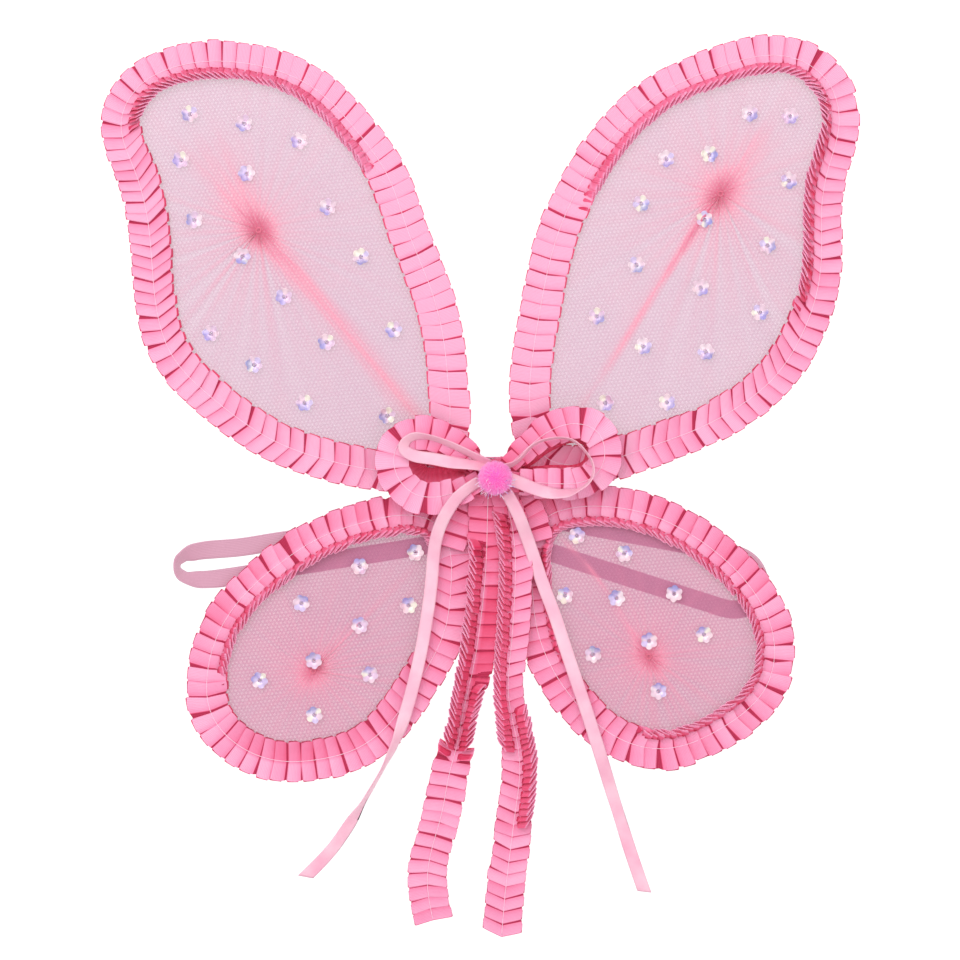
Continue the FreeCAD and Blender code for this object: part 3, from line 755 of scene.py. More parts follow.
class Ruffle:
    """Knife-pleated ribbon along a line, sewn down its middle.

    Every pair holds what the left half and then the right half does along the line, as keys:
    how many degrees it stands, how far its pleats lean forward, how far the under layers reach
    past the upper ones, and how much deeper its pink is painted, as painted shade and tint."""

    def __init__(self, seed, pitches, widths, rises, leans, peeps=(LEVEL, LEVEL),
                 shades_and_tints=(LEVEL, LEVEL), wild=((0, 1), (1, 1)), heights=(0.9, 1.6), press=None,
                 dome=0.06, rows=8, depth=6.0, flat=0.26):
        self.random = np.random.default_rng(seed)
        self.pitches = pitches
        self.widths = widths
        self.halves = list(zip(rises, leans, peeps, shades_and_tints))
        self.wild = wild
        self.heights = heights
        self.press = press or [(0, 1), (1, 1)]
        self.dome = dome
        self.rows = rows
        self.depth = depth          # mm, of an open loop
        self.flat = flat            # share of a half that stays flat where the rest stands

    def starts(self, length):
        """Where each pleat begins."""
        at = [0.0]
        while at[-1] < length:
            at.append(at[-1] + keyed(at[-1] / length, self.pitches) * MM)
        return np.array(at) * length / at[-1]

    def build(self, line, width_keys=None):
        starts = self.starts(line.length)
        rnd = self.random
        share_across = np.linspace(0, 1, self.rows) ** 0.85
        count = len(starts) - 1
        k = len(PRESSED)
        across = 2 * self.rows - 1
        points = np.zeros((count * k, across, 3))
        shade_and_tint = np.zeros((count * k, across))
        uv = np.zeros((count * k, across, 2))
        travelled = np.cumsum(np.r_[0, np.linalg.norm(np.diff(PRESSED[:, :2], axis=0), axis=1)])
        for i in range(count):
            share = (starts[i] + starts[i + 1]) / 2 / line.length
            pitch = starts[i + 1] - starts[i]
            wild = keyed(share, self.wild)
            shift = rnd.normal(0, 0.05) * wild * pitch
            swell = 1 + rnd.normal(0, 0.14)
            shade = rnd.normal(0, 0.06)
            for half, sign in enumerate((-1, 1)):
                rise, lean, peep, deep = (keyed(share, keys) for keys in self.halves[half])
                lean += rnd.normal(0, 0.05) * wild
                reach_scale = 1 + rnd.normal(0, 0.03) * wild
                opened = ease((rise - 13) / 20) * np.clip(1 + rnd.normal(0, 0.1), 0, 1.1)
                width = self.widths[half] * reach_scale
                if width_keys:
                    width *= keyed(share, width_keys)
                self._half(points, shade_and_tint, uv, i, starts[i] + shift, pitch, line, share_across, sign,
                           width, math.radians(rise), lean, peep, opened,
                           swell * keyed(share, self.press), deep + shade, travelled)
        faces = grid_faces(count * k, across, close_rows=line.closed)
        self.line_length = line.length
        return points.reshape(-1, 3), faces, shade_and_tint.ravel(), uv.reshape(-1, 2)

    def _half(self, points, shade_and_tint, uv, i, start, pitch, line, distance, sign, width, rise, lean,
              peep, opened, swell, deep, travelled):
        k = len(PRESSED)
        opening = opened * ease((distance - self.flat + 0.08) / 0.4)
        pressed = PRESSED[:, None, :]
        loose = OPENED[:, None, :]
        bend = rise * ease((distance - self.flat + 0.13) / 0.33)
        step = np.diff(distance, prepend=0) * width
        flat_reach = np.cumsum(step * np.cos(bend))
        height = np.cumsum(step * np.sin(bend))
        loop_x = loose[..., 0] - LOOP_LEAN * (loose[..., 1] - 0.5)
        x = pressed[..., 0] * (1 - opening) + loop_x * opening
        high = (self.heights[0] + (self.heights[1] - self.heights[0]) * distance) * swell
        loop_lift = (loose[..., 1] - LOOP_FOOT) * self.depth
        lift = pressed[..., 1] * high * (1 - opening) - loop_lift * opening
        under = (np.arange(k) > 6)[:, None]
        rounding = self.dome * ((PRESSED[:, None, 0] - 0.66) / 0.5) ** 2
        stretch = np.where(under, 1 + peep * distance ** 2, 1 - rounding * distance ** 2)
        stretch = 1 + (stretch - 1) * (1 - opening)
        frame = start + FAN * x * pitch
        tangent = line.direction(frame)
        centre = line.at(frame)
        if centre.shape[-1] == 2:
            centre = np.concatenate([centre, np.zeros_like(centre[..., :1])], -1)
            tangent = np.concatenate([tangent, np.zeros_like(tangent[..., :1])], -1)
        side = unit(np.cross(tangent, (0.0, 0.0, 1.0)))
        up = np.cross(side, tangent)
        along = (1 - FAN) * x * pitch + lean * flat_reach
        face = up * np.cos(bend)[None, :, None] - side * (sign * np.sin(bend))[None, :, None]
        made = centre + tangent * along[..., None] + side * (sign * flat_reach * stretch)[..., None] \
            + up * (height * stretch)[..., None] + face * (lift * MM)[..., None]
        # painted shade: the fold's shade from the rows above, plus the half's keyed deeper pink and the
        # pleat's random tint
        shade = pressed[..., 2] * (1 - opening) + (loose[..., 2] + 0.04) * opening + deep
        # painted highlight: the free edges of open loops are painted paler
        rim = ease((distance - 0.93) / 0.05) * opened
        shade = shade * (1 - 0.85 * rim)
        rows = slice(i * k, (i + 1) * k)
        middle = self.rows - 1
        order = slice(middle, None) if sign > 0 else slice(middle, None, -1)
        points[rows, order] = made
        shade_and_tint[rows, order] = shade
        uv[rows, order, 0] = (start / MM * SHEET_FULLNESS + travelled[:, None] * pitch / MM)
        uv[rows, order, 1] = sign * distance[None, :] * width / MM


def ruffle_piece(name, ruffle, line, lift=0.0, least=None, **options):
    points, faces, shade_and_tint, uv = ruffle.build(line, **options)
    points[:, 2] += lift
    if least is not None:
        points[:, 2] = np.maximum(points[:, 2], least)
    piece = mesh_piece(name, points, faces, GROSGRAIN, floats={"shade_and_tint": shade_and_tint}, uv=uv, smooth=False)
    thicken(piece, RIBBON_THICKNESS)
    return piece


# ---- nets ------------------------------------------------------------------------------------
NET_SPOKES = 240
NET_RINGS = 34
NET_REACH = 3.0 * MM


def winding(points):
    x = [p[0] for p in points]
    y = [p[1] for p in points]
    area = sum(x[i - 1] * y[i] - x[i] * y[i - 1] for i in range(len(points)))
    return 1 if area > 0 else -1


def rim_points(line, spokes, outward, turn):
    """Points around a wing, moved outward from its line."""
    s = np.linspace(0, line.length, spokes, endpoint=False)
    along = line.direction(s)
    out = np.stack([along[:, 1], -along[:, 0]], -1) * turn
    return line.at(s) + out * outward


def to_ridge(points, ridge):
    """Distance to the gathered ridge, and how far along it the nearest place is."""
    line = Line(ridge, step=0.001)
    apart = np.linalg.norm(points[:, None] - line.points[None, ::3], axis=-1)
    return apart.min(1), line.at_length[::3][apart.argmin(1)] / line.length


def wing_net(name, wing, line, level, middle, material, seed):
    """Stretched net: radial creases run in to the tie, and a gathered ridge crosses it."""
    turn = winding(wing["line"])
    rim = rim_points(line, NET_SPOKES, NET_REACH, turn)
    tie = np.array(wing["tie"]) * MM
    rings = (np.linspace(0.0, 1, NET_RINGS) ** 1.35) * 0.994 + 0.006
    flat = tie + (rim - tie)[None] * rings[:, None, None]
    flat = flat.reshape(-1, 2)
    from_tie = np.linalg.norm(flat - tie, axis=1)
    angle = np.arctan2(flat[:, 1] - tie[1], flat[:, 0] - tie[0])
    rnd = np.random.default_rng(seed)
    crease = np.zeros(len(flat))
    for _ in range(30):
        waves = rnd.integers(9, 60)
        crease += rnd.normal(0, 1) * np.cos(angle * waves + rnd.uniform(0, 6.28)) / 5.5
    toward = math.radians(wing["crease_turn"])
    crease = crease * (0.55 + 0.75 * np.clip(np.cos(angle - toward), 0, 1))
    apart, along = to_ridge(flat, metres(wing["ridge"]))
    width = keyed(along, wing["ridge_width"]) * MM
    on_ridge = np.exp(-(apart / width) ** 2) * keyed(along, wing["ridge_depth"])
    rim_share = np.repeat(rings, NET_SPOKES)
    hold = 1 - ease((rim_share - 0.86) / 0.14)
    near = np.exp(-from_tie / (34 * MM))
    creased = crease * near * 0.5 * MM * hold * ease(from_tie / (6 * MM))
    drawn = np.exp(-(from_tie / (9 * MM)) ** 2)
    ridged = on_ridge * 0.5 * MM * np.cos(apart / (1.3 * MM)) * hold
    z = level + creased + ridged + (middle - level) * drawn
    glow = wing["glow"] * MM
    gather = np.clip(0.40 * np.exp(-(from_tie / glow) ** 2) + 0.30 * np.exp(-(from_tie / glow / 2.6))
                     + on_ridge * (0.85 + 0.22 * np.cos(apart / (0.55 * MM) + 3 * crease))
                     + 0.15 * crease * np.exp(-from_tie / (46 * MM)) * ease(from_tie / (5 * MM)),
                     -0.12, 1.15)
    points = np.column_stack([flat, z])
    faces = [tuple(f) for f in grid_faces(NET_RINGS, NET_SPOKES, close_columns=True)]
    if turn < 0:
        faces = [f[::-1] for f in faces]
    faces.append(tuple(range(NET_SPOKES)) if turn > 0 else tuple(range(NET_SPOKES - 1, -1, -1)))
    return mesh_piece(name, points, faces, material, floats={"gather": gather}, uv=flat / MM)


# ---- sequins and ties ------------------------------------------------------------------------
PETALS = 6
PETAL_TINTS = [linear(255, 226, 238), linear(246, 206, 226), linear(255, 218, 230),
               linear(238, 196, 230), linear(255, 244, 226), linear(220, 196, 246)]
VIOLET_TINTS = [linear(108, 98, 214), linear(84, 92, 204), linear(140, 122, 226)]
SEQUIN_RINGS = (0.0011, 0.0016, 0.0024, 0.0032, 0.0039, 0.0044, 0.0047)
SEQUIN_LIFT = (0.10, 0.06, 0.30, 0.80, 1.25, 1.60, 1.85)


def flower_sequin(place, level, random, violet_angle):
    """Six-petalled cup; the petals that face one way are painted violet, as a painted reflection of the
    light on the film.
    """
    sides = PETALS * 8
    angle = np.linspace(0, 2 * math.pi, sides, endpoint=False) + random.uniform(0, 1)
    petal = np.cos((angle - angle[0]) * PETALS / 2) ** 2
    points, colors = [], []
    tilt = random.normal(0, 0.07, 2)
    tints = [PETAL_TINTS[random.integers(len(PETAL_TINTS))][:3] for _ in range(PETALS)]
    violet = VIOLET_TINTS[random.integers(len(VIOLET_TINTS))][:3]
    index = (((angle - angle[0]) * PETALS / (2 * math.pi) + 0.5).astype(int)) % PETALS
    facing = np.cos(angle - math.radians(violet_angle))
    for ring, (radius, lift) in enumerate(zip(SEQUIN_RINGS, SEQUIN_LIFT)):
        share = ring / (len(SEQUIN_RINGS) - 1)
        reach = radius * (1 - 0.20 * share * (1 - petal ** 0.55))
        x = np.cos(angle) * reach
        y = np.sin(angle) * reach
        z = lift * MM + 0.35 * MM * share * (petal - 0.5) + tilt[0] * x + tilt[1] * y
        points.append(np.column_stack([place[0] + x, place[1] + y, level + z]))
        base = np.array([tints[i] for i in index])
        # painted reflection: violet on the petals that face one way, more of it towards the rim
        mix = np.clip((facing - 0.45) * 2.6, 0, 1)[:, None] * (0.35 + 0.6 * share)
        # painted shade: darker between the petals, towards the rim
        shade = 1 - 0.16 * (1 - petal)[:, None] * share
        colors.append((base * (1 - mix) + np.array(violet) * mix) * shade)
    faces = [tuple(f) for f in grid_faces(len(SEQUIN_RINGS), sides, close_columns=True)]
    return np.vstack(points), faces, np.vstack(colors)


def bead(place, level, radius=0.0012, hole=0.00035):
    """Round bead with a thread hole through it."""
    turn = np.linspace(0, 2 * math.pi, 10, endpoint=False)
    round_ = np.linspace(0, 2 * math.pi, 14, endpoint=False)
    tube = (radius - hole) / 2
    ring = hole + tube + tube * np.cos(turn)
    high = tube * 1.25 * np.sin(turn)
    points = np.stack([place[0] + ring[:, None] * np.cos(round_),
                       place[1] + ring[:, None] * np.sin(round_),
                       level + high[:, None] + 0 * round_], -1).reshape(-1, 3)
    faces = [tuple(f) for f in grid_faces(10, 14, close_rows=True, close_columns=True)]
    return points, faces


def tie_knot(place, level):
    """Several turns of thread round the gathered net, and two cut ends."""
    parts = []
    t = np.linspace(0, 1, 90)
    turn = t * 4.5 * 2 * math.pi
    radius = (1.25 + 0.25 * np.sin(turn * 0.37)) * MM
    wound = np.column_stack([place[0] + radius * np.cos(turn), place[1] + radius * np.sin(turn),
                             level + (0.1 + 1.0 * t) * MM])
    parts.append(tube_mesh(wound, 0.00022, 6))
    for angle in (0.6, 2.4):
        s = np.linspace(0, 1, 10)
        end = np.column_stack([place[0] + (1.2 + 1.6 * s) * MM * math.cos(angle),
                               place[1] + (1.2 + 1.6 * s) * MM * math.sin(angle),
                               level + (1.1 - 0.5 * s + 0.3 * np.sin(3 * s)) * MM])
        parts.append(tube_mesh(end, 0.00018, 5))
    return joined(parts)


STITCH_RADIUS = 0.0002
STITCH_LENGTH = 0.0030
STITCH_DIP = 0.00014
TRIM_HALF = 0.0112          # half the pleated ribbon's width
SEQUIN_FILM = 0.00012
TRIM_STITCH_HEIGHT = 0.85 * MM
SEQUIN_SIT = 0.05 * MM      # sequins, over the front net
BEAD_SIT = 1.0 * MM         # beads, over the sequins' foot


def stitching(name, line, height, body):
    """Thread sewn down the middle of a pleated ribbon, dipping at every stitch."""
    count = int(line.length / 0.0011)
    s = np.linspace(0, line.length, count, endpoint=not line.closed)
    centre = line.at(s)
    if centre.shape[1] == 2:
        centre = np.column_stack([centre, np.zeros(count)])
    centre[:, 2] += height + STITCH_DIP * np.sin(s / STITCH_LENGTH * 2 * math.pi)
    points, faces = tube_mesh(centre, STITCH_RADIUS, 5)
    piece = mesh_piece(name, points, faces, STITCH_THREAD)
    settle(piece, body)
    return piece


def make_wing(index, name, wing):
    body = name + "_wing"
    level = name.split("_")[0]
    look = NET_LOOKS[level]
    line = Line(metres(wing["line"]), closed=True)
    front_low, front_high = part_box("net_front_" + name)
    back_low, back_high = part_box("net_back_" + name)
    middle = (front_low.z + back_high.z) / 2
    for layer, z, phase in (("front", front_high.z, 0), ("back", back_low.z, 13)):
        material = net_material("net_%s_%s" % (layer, name), look["thread"], look["cover"],
                                look["ridge_cover"], phase)
        gap = 0.25 * MM if layer == "front" else -0.25 * MM
        piece = wing_net("stretched_net_%s_%s" % (layer, name), wing, line, z, middle + gap,
                         material, 40 + index)
        settle(piece, body, "net_%s_%s" % (layer, name))

    trim_low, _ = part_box("pleated_trim_" + name)
    turn = winding(wing["line"])
    # deep_in and deep_out: how much deeper each half's pink is painted along the line, as painted shade
    # and tint
    inner = (wing["rise"], wing["lean_in"], wing["peep"], wing["deep_in"])
    outer = ([(0, 4), (1, 4)], wing["lean_out"], [(0, 0.02), (1, 0.02)], wing["deep_out"])
    left, right = (inner, outer) if turn > 0 else (outer, inner)
    rises, leans, peeps, shades_and_tints = zip(left, right)
    depth, flat = wing["loops"]
    ruffle = Ruffle(10 + index, wing["pitch"], (TRIM_HALF, TRIM_HALF), rises, leans, peeps, shades_and_tints,
                    wing["wild"], depth=depth, flat=flat)
    trim = ruffle_piece("pleated_edge_" + name, ruffle, line, lift=trim_low.z + 0.15 * MM,
                        least=trim_low.z)
    settle(trim, body, "pleated_trim_" + name)
    stitching("trim_stitching_" + name, line, trim_low.z + TRIM_STITCH_HEIGHT, body)

    random = np.random.default_rng(70 + index)
    cups, tints, beads = [], [], []
    sit = front_high.z + SEQUIN_SIT
    for x, y in wing["sequins"]:
        # the way each wing's sequins face for their painted violet reflection
        violet = wing["petal_turn"] + random.normal(0, 28)
        points, faces, colors = flower_sequin((x * MM, y * MM), sit, random, violet)
        cups.append((points, faces))
        tints.append(colors)
        beads.append(bead((x * MM, y * MM), sit + BEAD_SIT))
    points, faces = joined(cups)
    cup = mesh_piece("flower_sequins_" + name, points, faces, SEQUIN,
                     colors={"petal": np.vstack(tints)})
    thicken(cup, SEQUIN_FILM)
    settle(cup, body, "sequins_" + name)
    points, faces = joined(beads)
    ball = mesh_piece("glass_beads_" + name, points, faces, BEAD)
    settle(ball, body, "sequin_beads_" + name)

    tie_place = [c * MM for c in wing["tie"]]
    points, faces = tie_knot(tie_place, middle + 0.2 * MM)
    knot = mesh_piece("tie_thread_" + name, points, faces, TIE_THREAD)
    settle(knot, body, "gather_tie_" + name)
    nodes["wing_wire_" + name].data.materials[0] = STEEL


for wing_index, (wing_name, wing_facts) in enumerate(WINGS.items()):
    make_wing(wing_index, wing_name, wing_facts)

# ---- pleated tails ---------------------------------------------------------------------------
TAIL_HALF = 0.0108
TAIL_STITCH_HEIGHT = 0.55 * MM
TAIL_LEAST = 0.35 * MM      # lowest place of a tail over the surface it lies on
# Each station of a tail's sewn line: x, y and height. Left and right are the viewer's.
PLEATED_TAILS = {
    "left": {
        "line": [(-1.5, -9, 9.4), (-2, -28, 9.6), (-2.6, -47, 9.4), (-5.2, -76, 9.2), (-9.6, -105, 7.6),
            (-15.5, -132, 2.6), (-19, -150, 1.4), (-22.5, -163, 1.3), (-27, -186, 1.3), (-33, -208, 1.3),
            (-35, -223, 1.3), (-32, -245, 1.3)],
        "width": [(0, 1.0), (0.42, 1.0), (0.5, 0.86), (0.58, 0.86), (0.63, 0.98), (1, 1.0)],
        "left": [(0, 4), (0.11, 6), (0.15, 46), (0.38, 50), (0.57, 52), (0.6, 30), (0.63, 6), (1, 4)],
        "right": [(0, 4), (0.42, 10), (0.46, 42), (0.57, 48), (0.6, 30), (0.63, 6), (1, 4)],
        "press": [(0, 0.35), (0.12, 0.4), (0.18, 1), (0.58, 1), (0.64, 0.4), (1, 0.35)],
        # painted shade: the pink is deeper near the knot, and on the right half where it leans over on
        # its side
        "shade_and_tint": [(0, 0.4), (0.12, 0.44), (0.2, 0.26), (0.58, 0.2), (0.64, 0.1), (1, 0.1)],
        "shade_and_tint_right": [(0, 0.4), (0.12, 0.44), (0.18, 0.4), (0.24, 0.74), (0.42, 0.68), (0.5, 0.24),
            (0.58, 0.2), (0.64, 0.1), (1, 0.1)],
        "lean": [(0, 0), (0.15, -0.1), (0.6, -0.3), (0.66, 0.05), (1, 0.08)],
        "seed": 31,
    },
    "right": {
        "line": [(7, -9, 9.7), (11, -25, 9.8), (13.4, -47, 9.6), (12.8, -70, 9.6), (11, -95, 9.4),
            (9.5, -119, 7.4), (13, -140, 2), (16, -161, 1.4), (14, -182, 1.3), (11, -205, 1.3),
            (8, -230, 1.3), (6, -253.5, 1.3)],
        "width": [(0, 0.7), (0.1, 0.9), (0.3, 0.9), (0.45, 0.8), (0.55, 0.95), (1, 1.0)],
        "left": [(0, 8), (0.05, 10), (0.08, 36), (0.3, 38), (0.52, 42), (0.56, 34), (0.6, 10), (1, 8)],
        "right": [(0, 8), (0.48, 10), (0.52, 36), (0.66, 40), (0.73, 34), (0.77, 10), (1, 8)],
        "press": [(0, 0.8), (0.2, 1), (0.6, 1), (1, 0.8)],
        # painted shade: the pink is deeper near the knot
        "shade_and_tint": [(0, 0.34), (0.15, 0.14), (0.45, 0.16), (0.6, 0.1), (1, 0.1)],
        "lean": [(0, -0.3), (0.5, -0.3), (1, -0.35)],
        "seed": 32,
    },
}


def make_pleated_tails():
    for side, tail in PLEATED_TAILS.items():
        line = Line(metres(tail["line"]))
        ruffle = Ruffle(tail["seed"], [(0, 7.4), (1, 7)], (TAIL_HALF, TAIL_HALF),
                        (tail["right"], tail["left"]), (tail["lean"], tail["lean"]),
                        shades_and_tints=(tail.get("shade_and_tint_right", tail["shade_and_tint"]), tail["shade_and_tint"]),
                        heights=(0.7, 1.2), press=tail["press"], flat=0.2)
        piece = ruffle_piece("ruffled_tail_" + side, ruffle, line, least=TAIL_LEAST,
                             width_keys=tail["width"])
        settle(piece, "root", "pleated_tail_" + side)
        stitching("tail_stitching_" + side, line, TAIL_STITCH_HEIGHT, "root")


make_pleated_tails()

HEEL_HALF = 0.0096
# Where the two lower trims gather under the knot: the sewn line of each, x, y and height.
HEELS = {
    "left": [(-9.5, 2, 9.2), (-12, -8, 9.2), (-15.5, -18, 9.2), (-20, -29, 9.1), (-23, -38, 8.9)],
    "right": [(8, 2, 9.2), (12, -7, 9.2), (17.5, -16, 9.2), (22.5, -26, 9.1), (25, -35, 8.9)],
}


def make_heels():
    """Ends of the lower trims, drawn in under the knot."""
    # painted shade: deeper pink near the knot, which the heels run in under
    shade_and_tint = [(0, 0.5), (0.5, 0.36), (1, 0.24)]
    for side, heel in HEELS.items():
        line = Line(metres(heel))
        ruffle = Ruffle(61, [(0, 5.5), (1, 7.6)], (HEEL_HALF, HEEL_HALF), ([(0, 0), (1, 4)],) * 2,
                        ([(0, -0.1), (1, 0)],) * 2, shades_and_tints=(shade_and_tint, shade_and_tint), heights=(0.5, 0.9))
        piece = ruffle_piece("ruffled_heel_" + side, ruffle, line)
        settle(piece, "root")


make_heels()

# ---- bow -------------------------------------------------------------------------------------
BOW_LINES = {
    "left": [(-6, 3), (-15, 12.5), (-26, 19.5), (-39, 22), (-49, 18.5), (-53, 9), (-50, -2.5),
        (-41, -10.5), (-27, -11.5), (-15, -7.5), (-7, -3)],
    "right": [(8.5, 4), (19, 14), (32, 24), (46, 28), (58, 23.5), (62, 11), (57, 0), (46, -4.5),
        (32, -4.5), (19, -4), (9, -3)],
}
BOW_INNER = 0.0088
BOW_OUTER = 0.0098
BOW_OUTER_RISES = {
    "left": [(0, 4), (0.3, -6), (0.5, -10), (0.75, -8), (1, 4)],
    "right": [(0, 4), (0.3, -6), (0.55, -12), (0.7, -34), (0.9, -30), (1, 0)],
}
LINING_REACH = {"left": 9.0, "right": 3.2}     # mm, from the loop's edge inward
LINING_LOW = 0.0088


def make_bow():
    for side, flat_line in BOW_LINES.items():
        _, loop_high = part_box("bow_loop_" + side)
        line = Line(metres(flat_line))
        turn = winding(flat_line)
        inner = ([(0, 4), (0.3, 8), (1, 4)], [(0, 0.05), (1, 0.05)])
        outer = (BOW_OUTER_RISES[side], LEVEL)
        left, right = (inner, outer) if turn > 0 else (outer, inner)
        rises, leans = zip(left, right)
        widths = (BOW_INNER, BOW_OUTER) if turn > 0 else (BOW_OUTER, BOW_INNER)
        # painted shade: deeper pink at both ends of the loop, where it runs in under the knot
        shade_and_tint = [(0, 0.34), (0.2, 0.24), (0.45, 0.08), (0.7, 0.04), (0.9, 0.16), (1, 0.3)]
        ruffle = Ruffle(50, [(0, 8.2), (1, 8.2)], widths, rises, leans, shades_and_tints=(shade_and_tint, shade_and_tint),
                        wild=[(0, 1), (1, 1.4)])
        top = loop_high.z - 1.6 * MM
        share_keys = [(0, 0.5), (0.12, 0.85), (0.25, 1.0), (0.8, 1.0), (0.92, 0.8), (1, 0.5)]
        piece = ruffle_piece("ruffled_bow_" + side, ruffle, line, lift=top,
                             width_keys=share_keys)
        settle(piece, "root", "bow_loop_" + side)
        stitching("bow_stitching_" + side, line, top + 0.75 * MM, "root")

        wall, faces, shade_and_tint, uv, cut = bow_lining(line, turn, top, BOW_INNER, share_keys, side)
        lining = mesh_piece("bow_lining_" + side, wall, faces, GROSGRAIN, floats={"shade_and_tint": shade_and_tint},
                            uv=uv, smooth=False)
        thicken(lining, RIBBON_THICKNESS)
        settle(lining, "root")


def bow_lining(line, turn, top, inner, share_keys, side):
    """Underside of the loop, seen through its opening: it goes down and in from the edge."""
    count = 160
    s = np.linspace(0.04, 0.96, count) * line.length
    along = line.direction(s)
    inward = np.stack([-along[:, 1], along[:, 0]], -1) * turn
    scale = keyed(s / line.length, share_keys)
    edge = line.at(s) + inward * (inner * scale * 0.8)[:, None]
    steps = np.linspace(0, 1, 12)
    pleat = 2 * np.abs(np.mod(s / 0.0041, 1) - 0.5)
    reach = np.minimum(LINING_REACH[side] * MM, room_inside(edge, inward) * 0.62)
    rows = []
    for t in steps:
        drop = ease(t * 1.3)
        place = edge + inward * (reach * t ** 1.2)[:, None]
        z = (top - 0.0003) * (1 - drop) + LINING_LOW * drop + pleat * 0.0008 * t
        rows.append(np.column_stack([place, z]))
    points = np.stack(rows, 1)
    # painted shade: deeper pink further in under the loop, banded with the pleats
    shade_and_tint = (0.6 + 0.25 * steps[None, :] + 0.14 * pleat[:, None]).ravel()
    down = np.linalg.norm(np.diff(points, axis=1), axis=2).sum(1).mean()
    length = np.linalg.norm(np.diff(points, axis=0), axis=2).sum(0).mean()
    uv = np.stack([np.repeat(s / MM, len(steps)), np.tile(steps * down / MM, count)], -1)
    cut = (max(0.010, float(down)), float(length))
    return points.reshape(-1, 3), grid_faces(count, len(steps)), shade_and_tint, uv, cut


def room_inside(edge, inward):
    """How far each place on a closed edge is from the edge straight across."""
    room = np.full(len(edge), 1.0)
    for i, (place, way) in enumerate(zip(edge, inward)):
        to = edge - place
        ahead = to @ way
        aside = np.abs(to[:, 0] * way[1] - to[:, 1] * way[0])
        hit = (ahead > 0.0015) & (aside < 0.0012)
        if hit.any():
            room[i] = ahead[hit].min()
    return room


make_bow()


def make_knot():
    """Flat ribbon over the middle, with a few soft folds, and its wrap round the bundle."""
    rnd = np.random.default_rng(3)
    low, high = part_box("bow_knot")
    u = np.linspace(0, 1, 60)
    v = np.linspace(0, 1, 44)
    uu, vv = np.meshgrid(u, v, indexing="ij")
    angle = (uu - 0.5) * 2 * math.pi * 0.97
    wide = (high.x - low.x) / 2 * (1.0 + 0.20 * np.abs(2 * vv - 1) ** 2)
    tall = (high.z - low.z) / 2
    folds = sum(rnd.uniform(0.1, 0.35) * np.cos(uu * 2 * math.pi * k + rnd.uniform(0, 6))
                for k in (5, 8, 13))
    x = (low.x + high.x) / 2 + (wide + folds * 0.5 * MM) * np.sign(np.sin(angle)) \
        * np.abs(np.sin(angle)) ** 0.7
    z = (low.z + high.z) / 2 + (tall + folds * 0.3 * MM) * np.sign(np.cos(angle)) \
        * np.abs(np.cos(angle)) ** 0.7
    y = low.y + (high.y - low.y) * vv
    points = np.stack([x, y, z], -1).reshape(-1, 3)
    # painted shade: deeper pink in the folds and on the sides, where the wrap turns down
    shade_and_tint = np.clip(0.3 + 0.5 * folds + 0.2 * np.abs(np.sin(angle)), 0, 1).ravel()
    uv = np.stack([vv * 40, uu * 22], -1).reshape(-1, 2)
    knot = mesh_piece("ribbon_knot", points, grid_faces(60, 44), GROSGRAIN,
                      floats={"shade_and_tint": shade_and_tint}, uv=uv)
    thicken(knot, RIBBON_THICKNESS)
    settle(knot, "root", "bow_knot")


make_knot()


SATIN_BOW = {
    "left": {
        "line": [(-1, 6, 21), (-9, 10.3, 22.2), (-23, 17, 23), (-36, 21, 23.2), (-45, 19.5, 23.2),
            (-47.5, 15, 23), (-43.5, 11.2, 22.8), (-34, 9.2, 22.6), (-22, 7, 22.4), (-9, 5.4, 22),
            (-1, 4, 21)],
        "turn": [(0, 50), (0.15, 62), (0.35, 68), (0.46, 52), (0.52, 32), (0.6, 20), (0.75, 18),
            (0.9, 40), (1, 50)],
    },
    "right": {
        "line": [(5, 4, 21), (13.5, 7, 22.4), (22, 15.5, 23.4), (34, 20, 24), (44, 19, 24),
            (51.5, 12.5, 24), (55.5, 5, 24), (54.5, -2, 23.8), (48.5, -7.5, 23.4), (34, -10, 22.8),
            (20, -6, 22.4), (10, -2, 22), (4, 0, 21)],
        "turn": [(0, -60), (0.1, -76), (0.3, -82), (0.5, -84), (0.62, -80), (0.7, -48), (0.8, -18),
            (0.9, -10), (1, -20)],
    },
}


def make_satin_bow():
    for side, loop in SATIN_BOW.items():
        line = Line(metres(loop["line"]))
        points, faces, uv, _ = ribbon_mesh(line, SATIN_WIDTH, SATIN_THICKNESS, loop["turn"],
                                           0.0012, crown=0.0002)
        piece = mesh_piece("satin_ribbon_loop_" + side, points, faces, SATIN, uv=uv)
        settle(piece, "root", "satin_loop_" + side)
    low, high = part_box("satin_knot")
    middle = (low + high) / 2
    half = (high - low) / 2
    turns = []
    rnd = np.random.default_rng(9)
    for k in range(3):
        t = np.linspace(0, 2 * math.pi, 40)
        x = middle.x + half.x * np.sin(t) * (1 + 0.04 * k)
        z = middle.z + half.z * np.cos(t)
        y = middle.y + half.y * (0.5 * k - 0.5) + 0.8 * MM * rnd.normal() * np.sin(t / 2)
        turns.append(tube_mesh(np.column_stack([x, y + 0 * t, z]), half.y * 0.45, 8))
    points, faces = joined(turns)
    uv = np.column_stack([points[:, 0], points[:, 1]]) / MM
    knot = mesh_piece("satin_ribbon_knot", points, faces, SATIN, uv=uv)
    settle(knot, "root", "satin_knot")


make_satin_bow()

# ---- pom-pom ---------------------------------------------------------------------------------
POM_FIBRES = 5200
POM_RADIUS = 0.0094
FIBRE_RADII = np.array([0.16, 0.15, 0.13, 0.10, 0.05]) * MM
TINSEL_STRANDS = 44
TINSEL_RADIUS = 0.00017


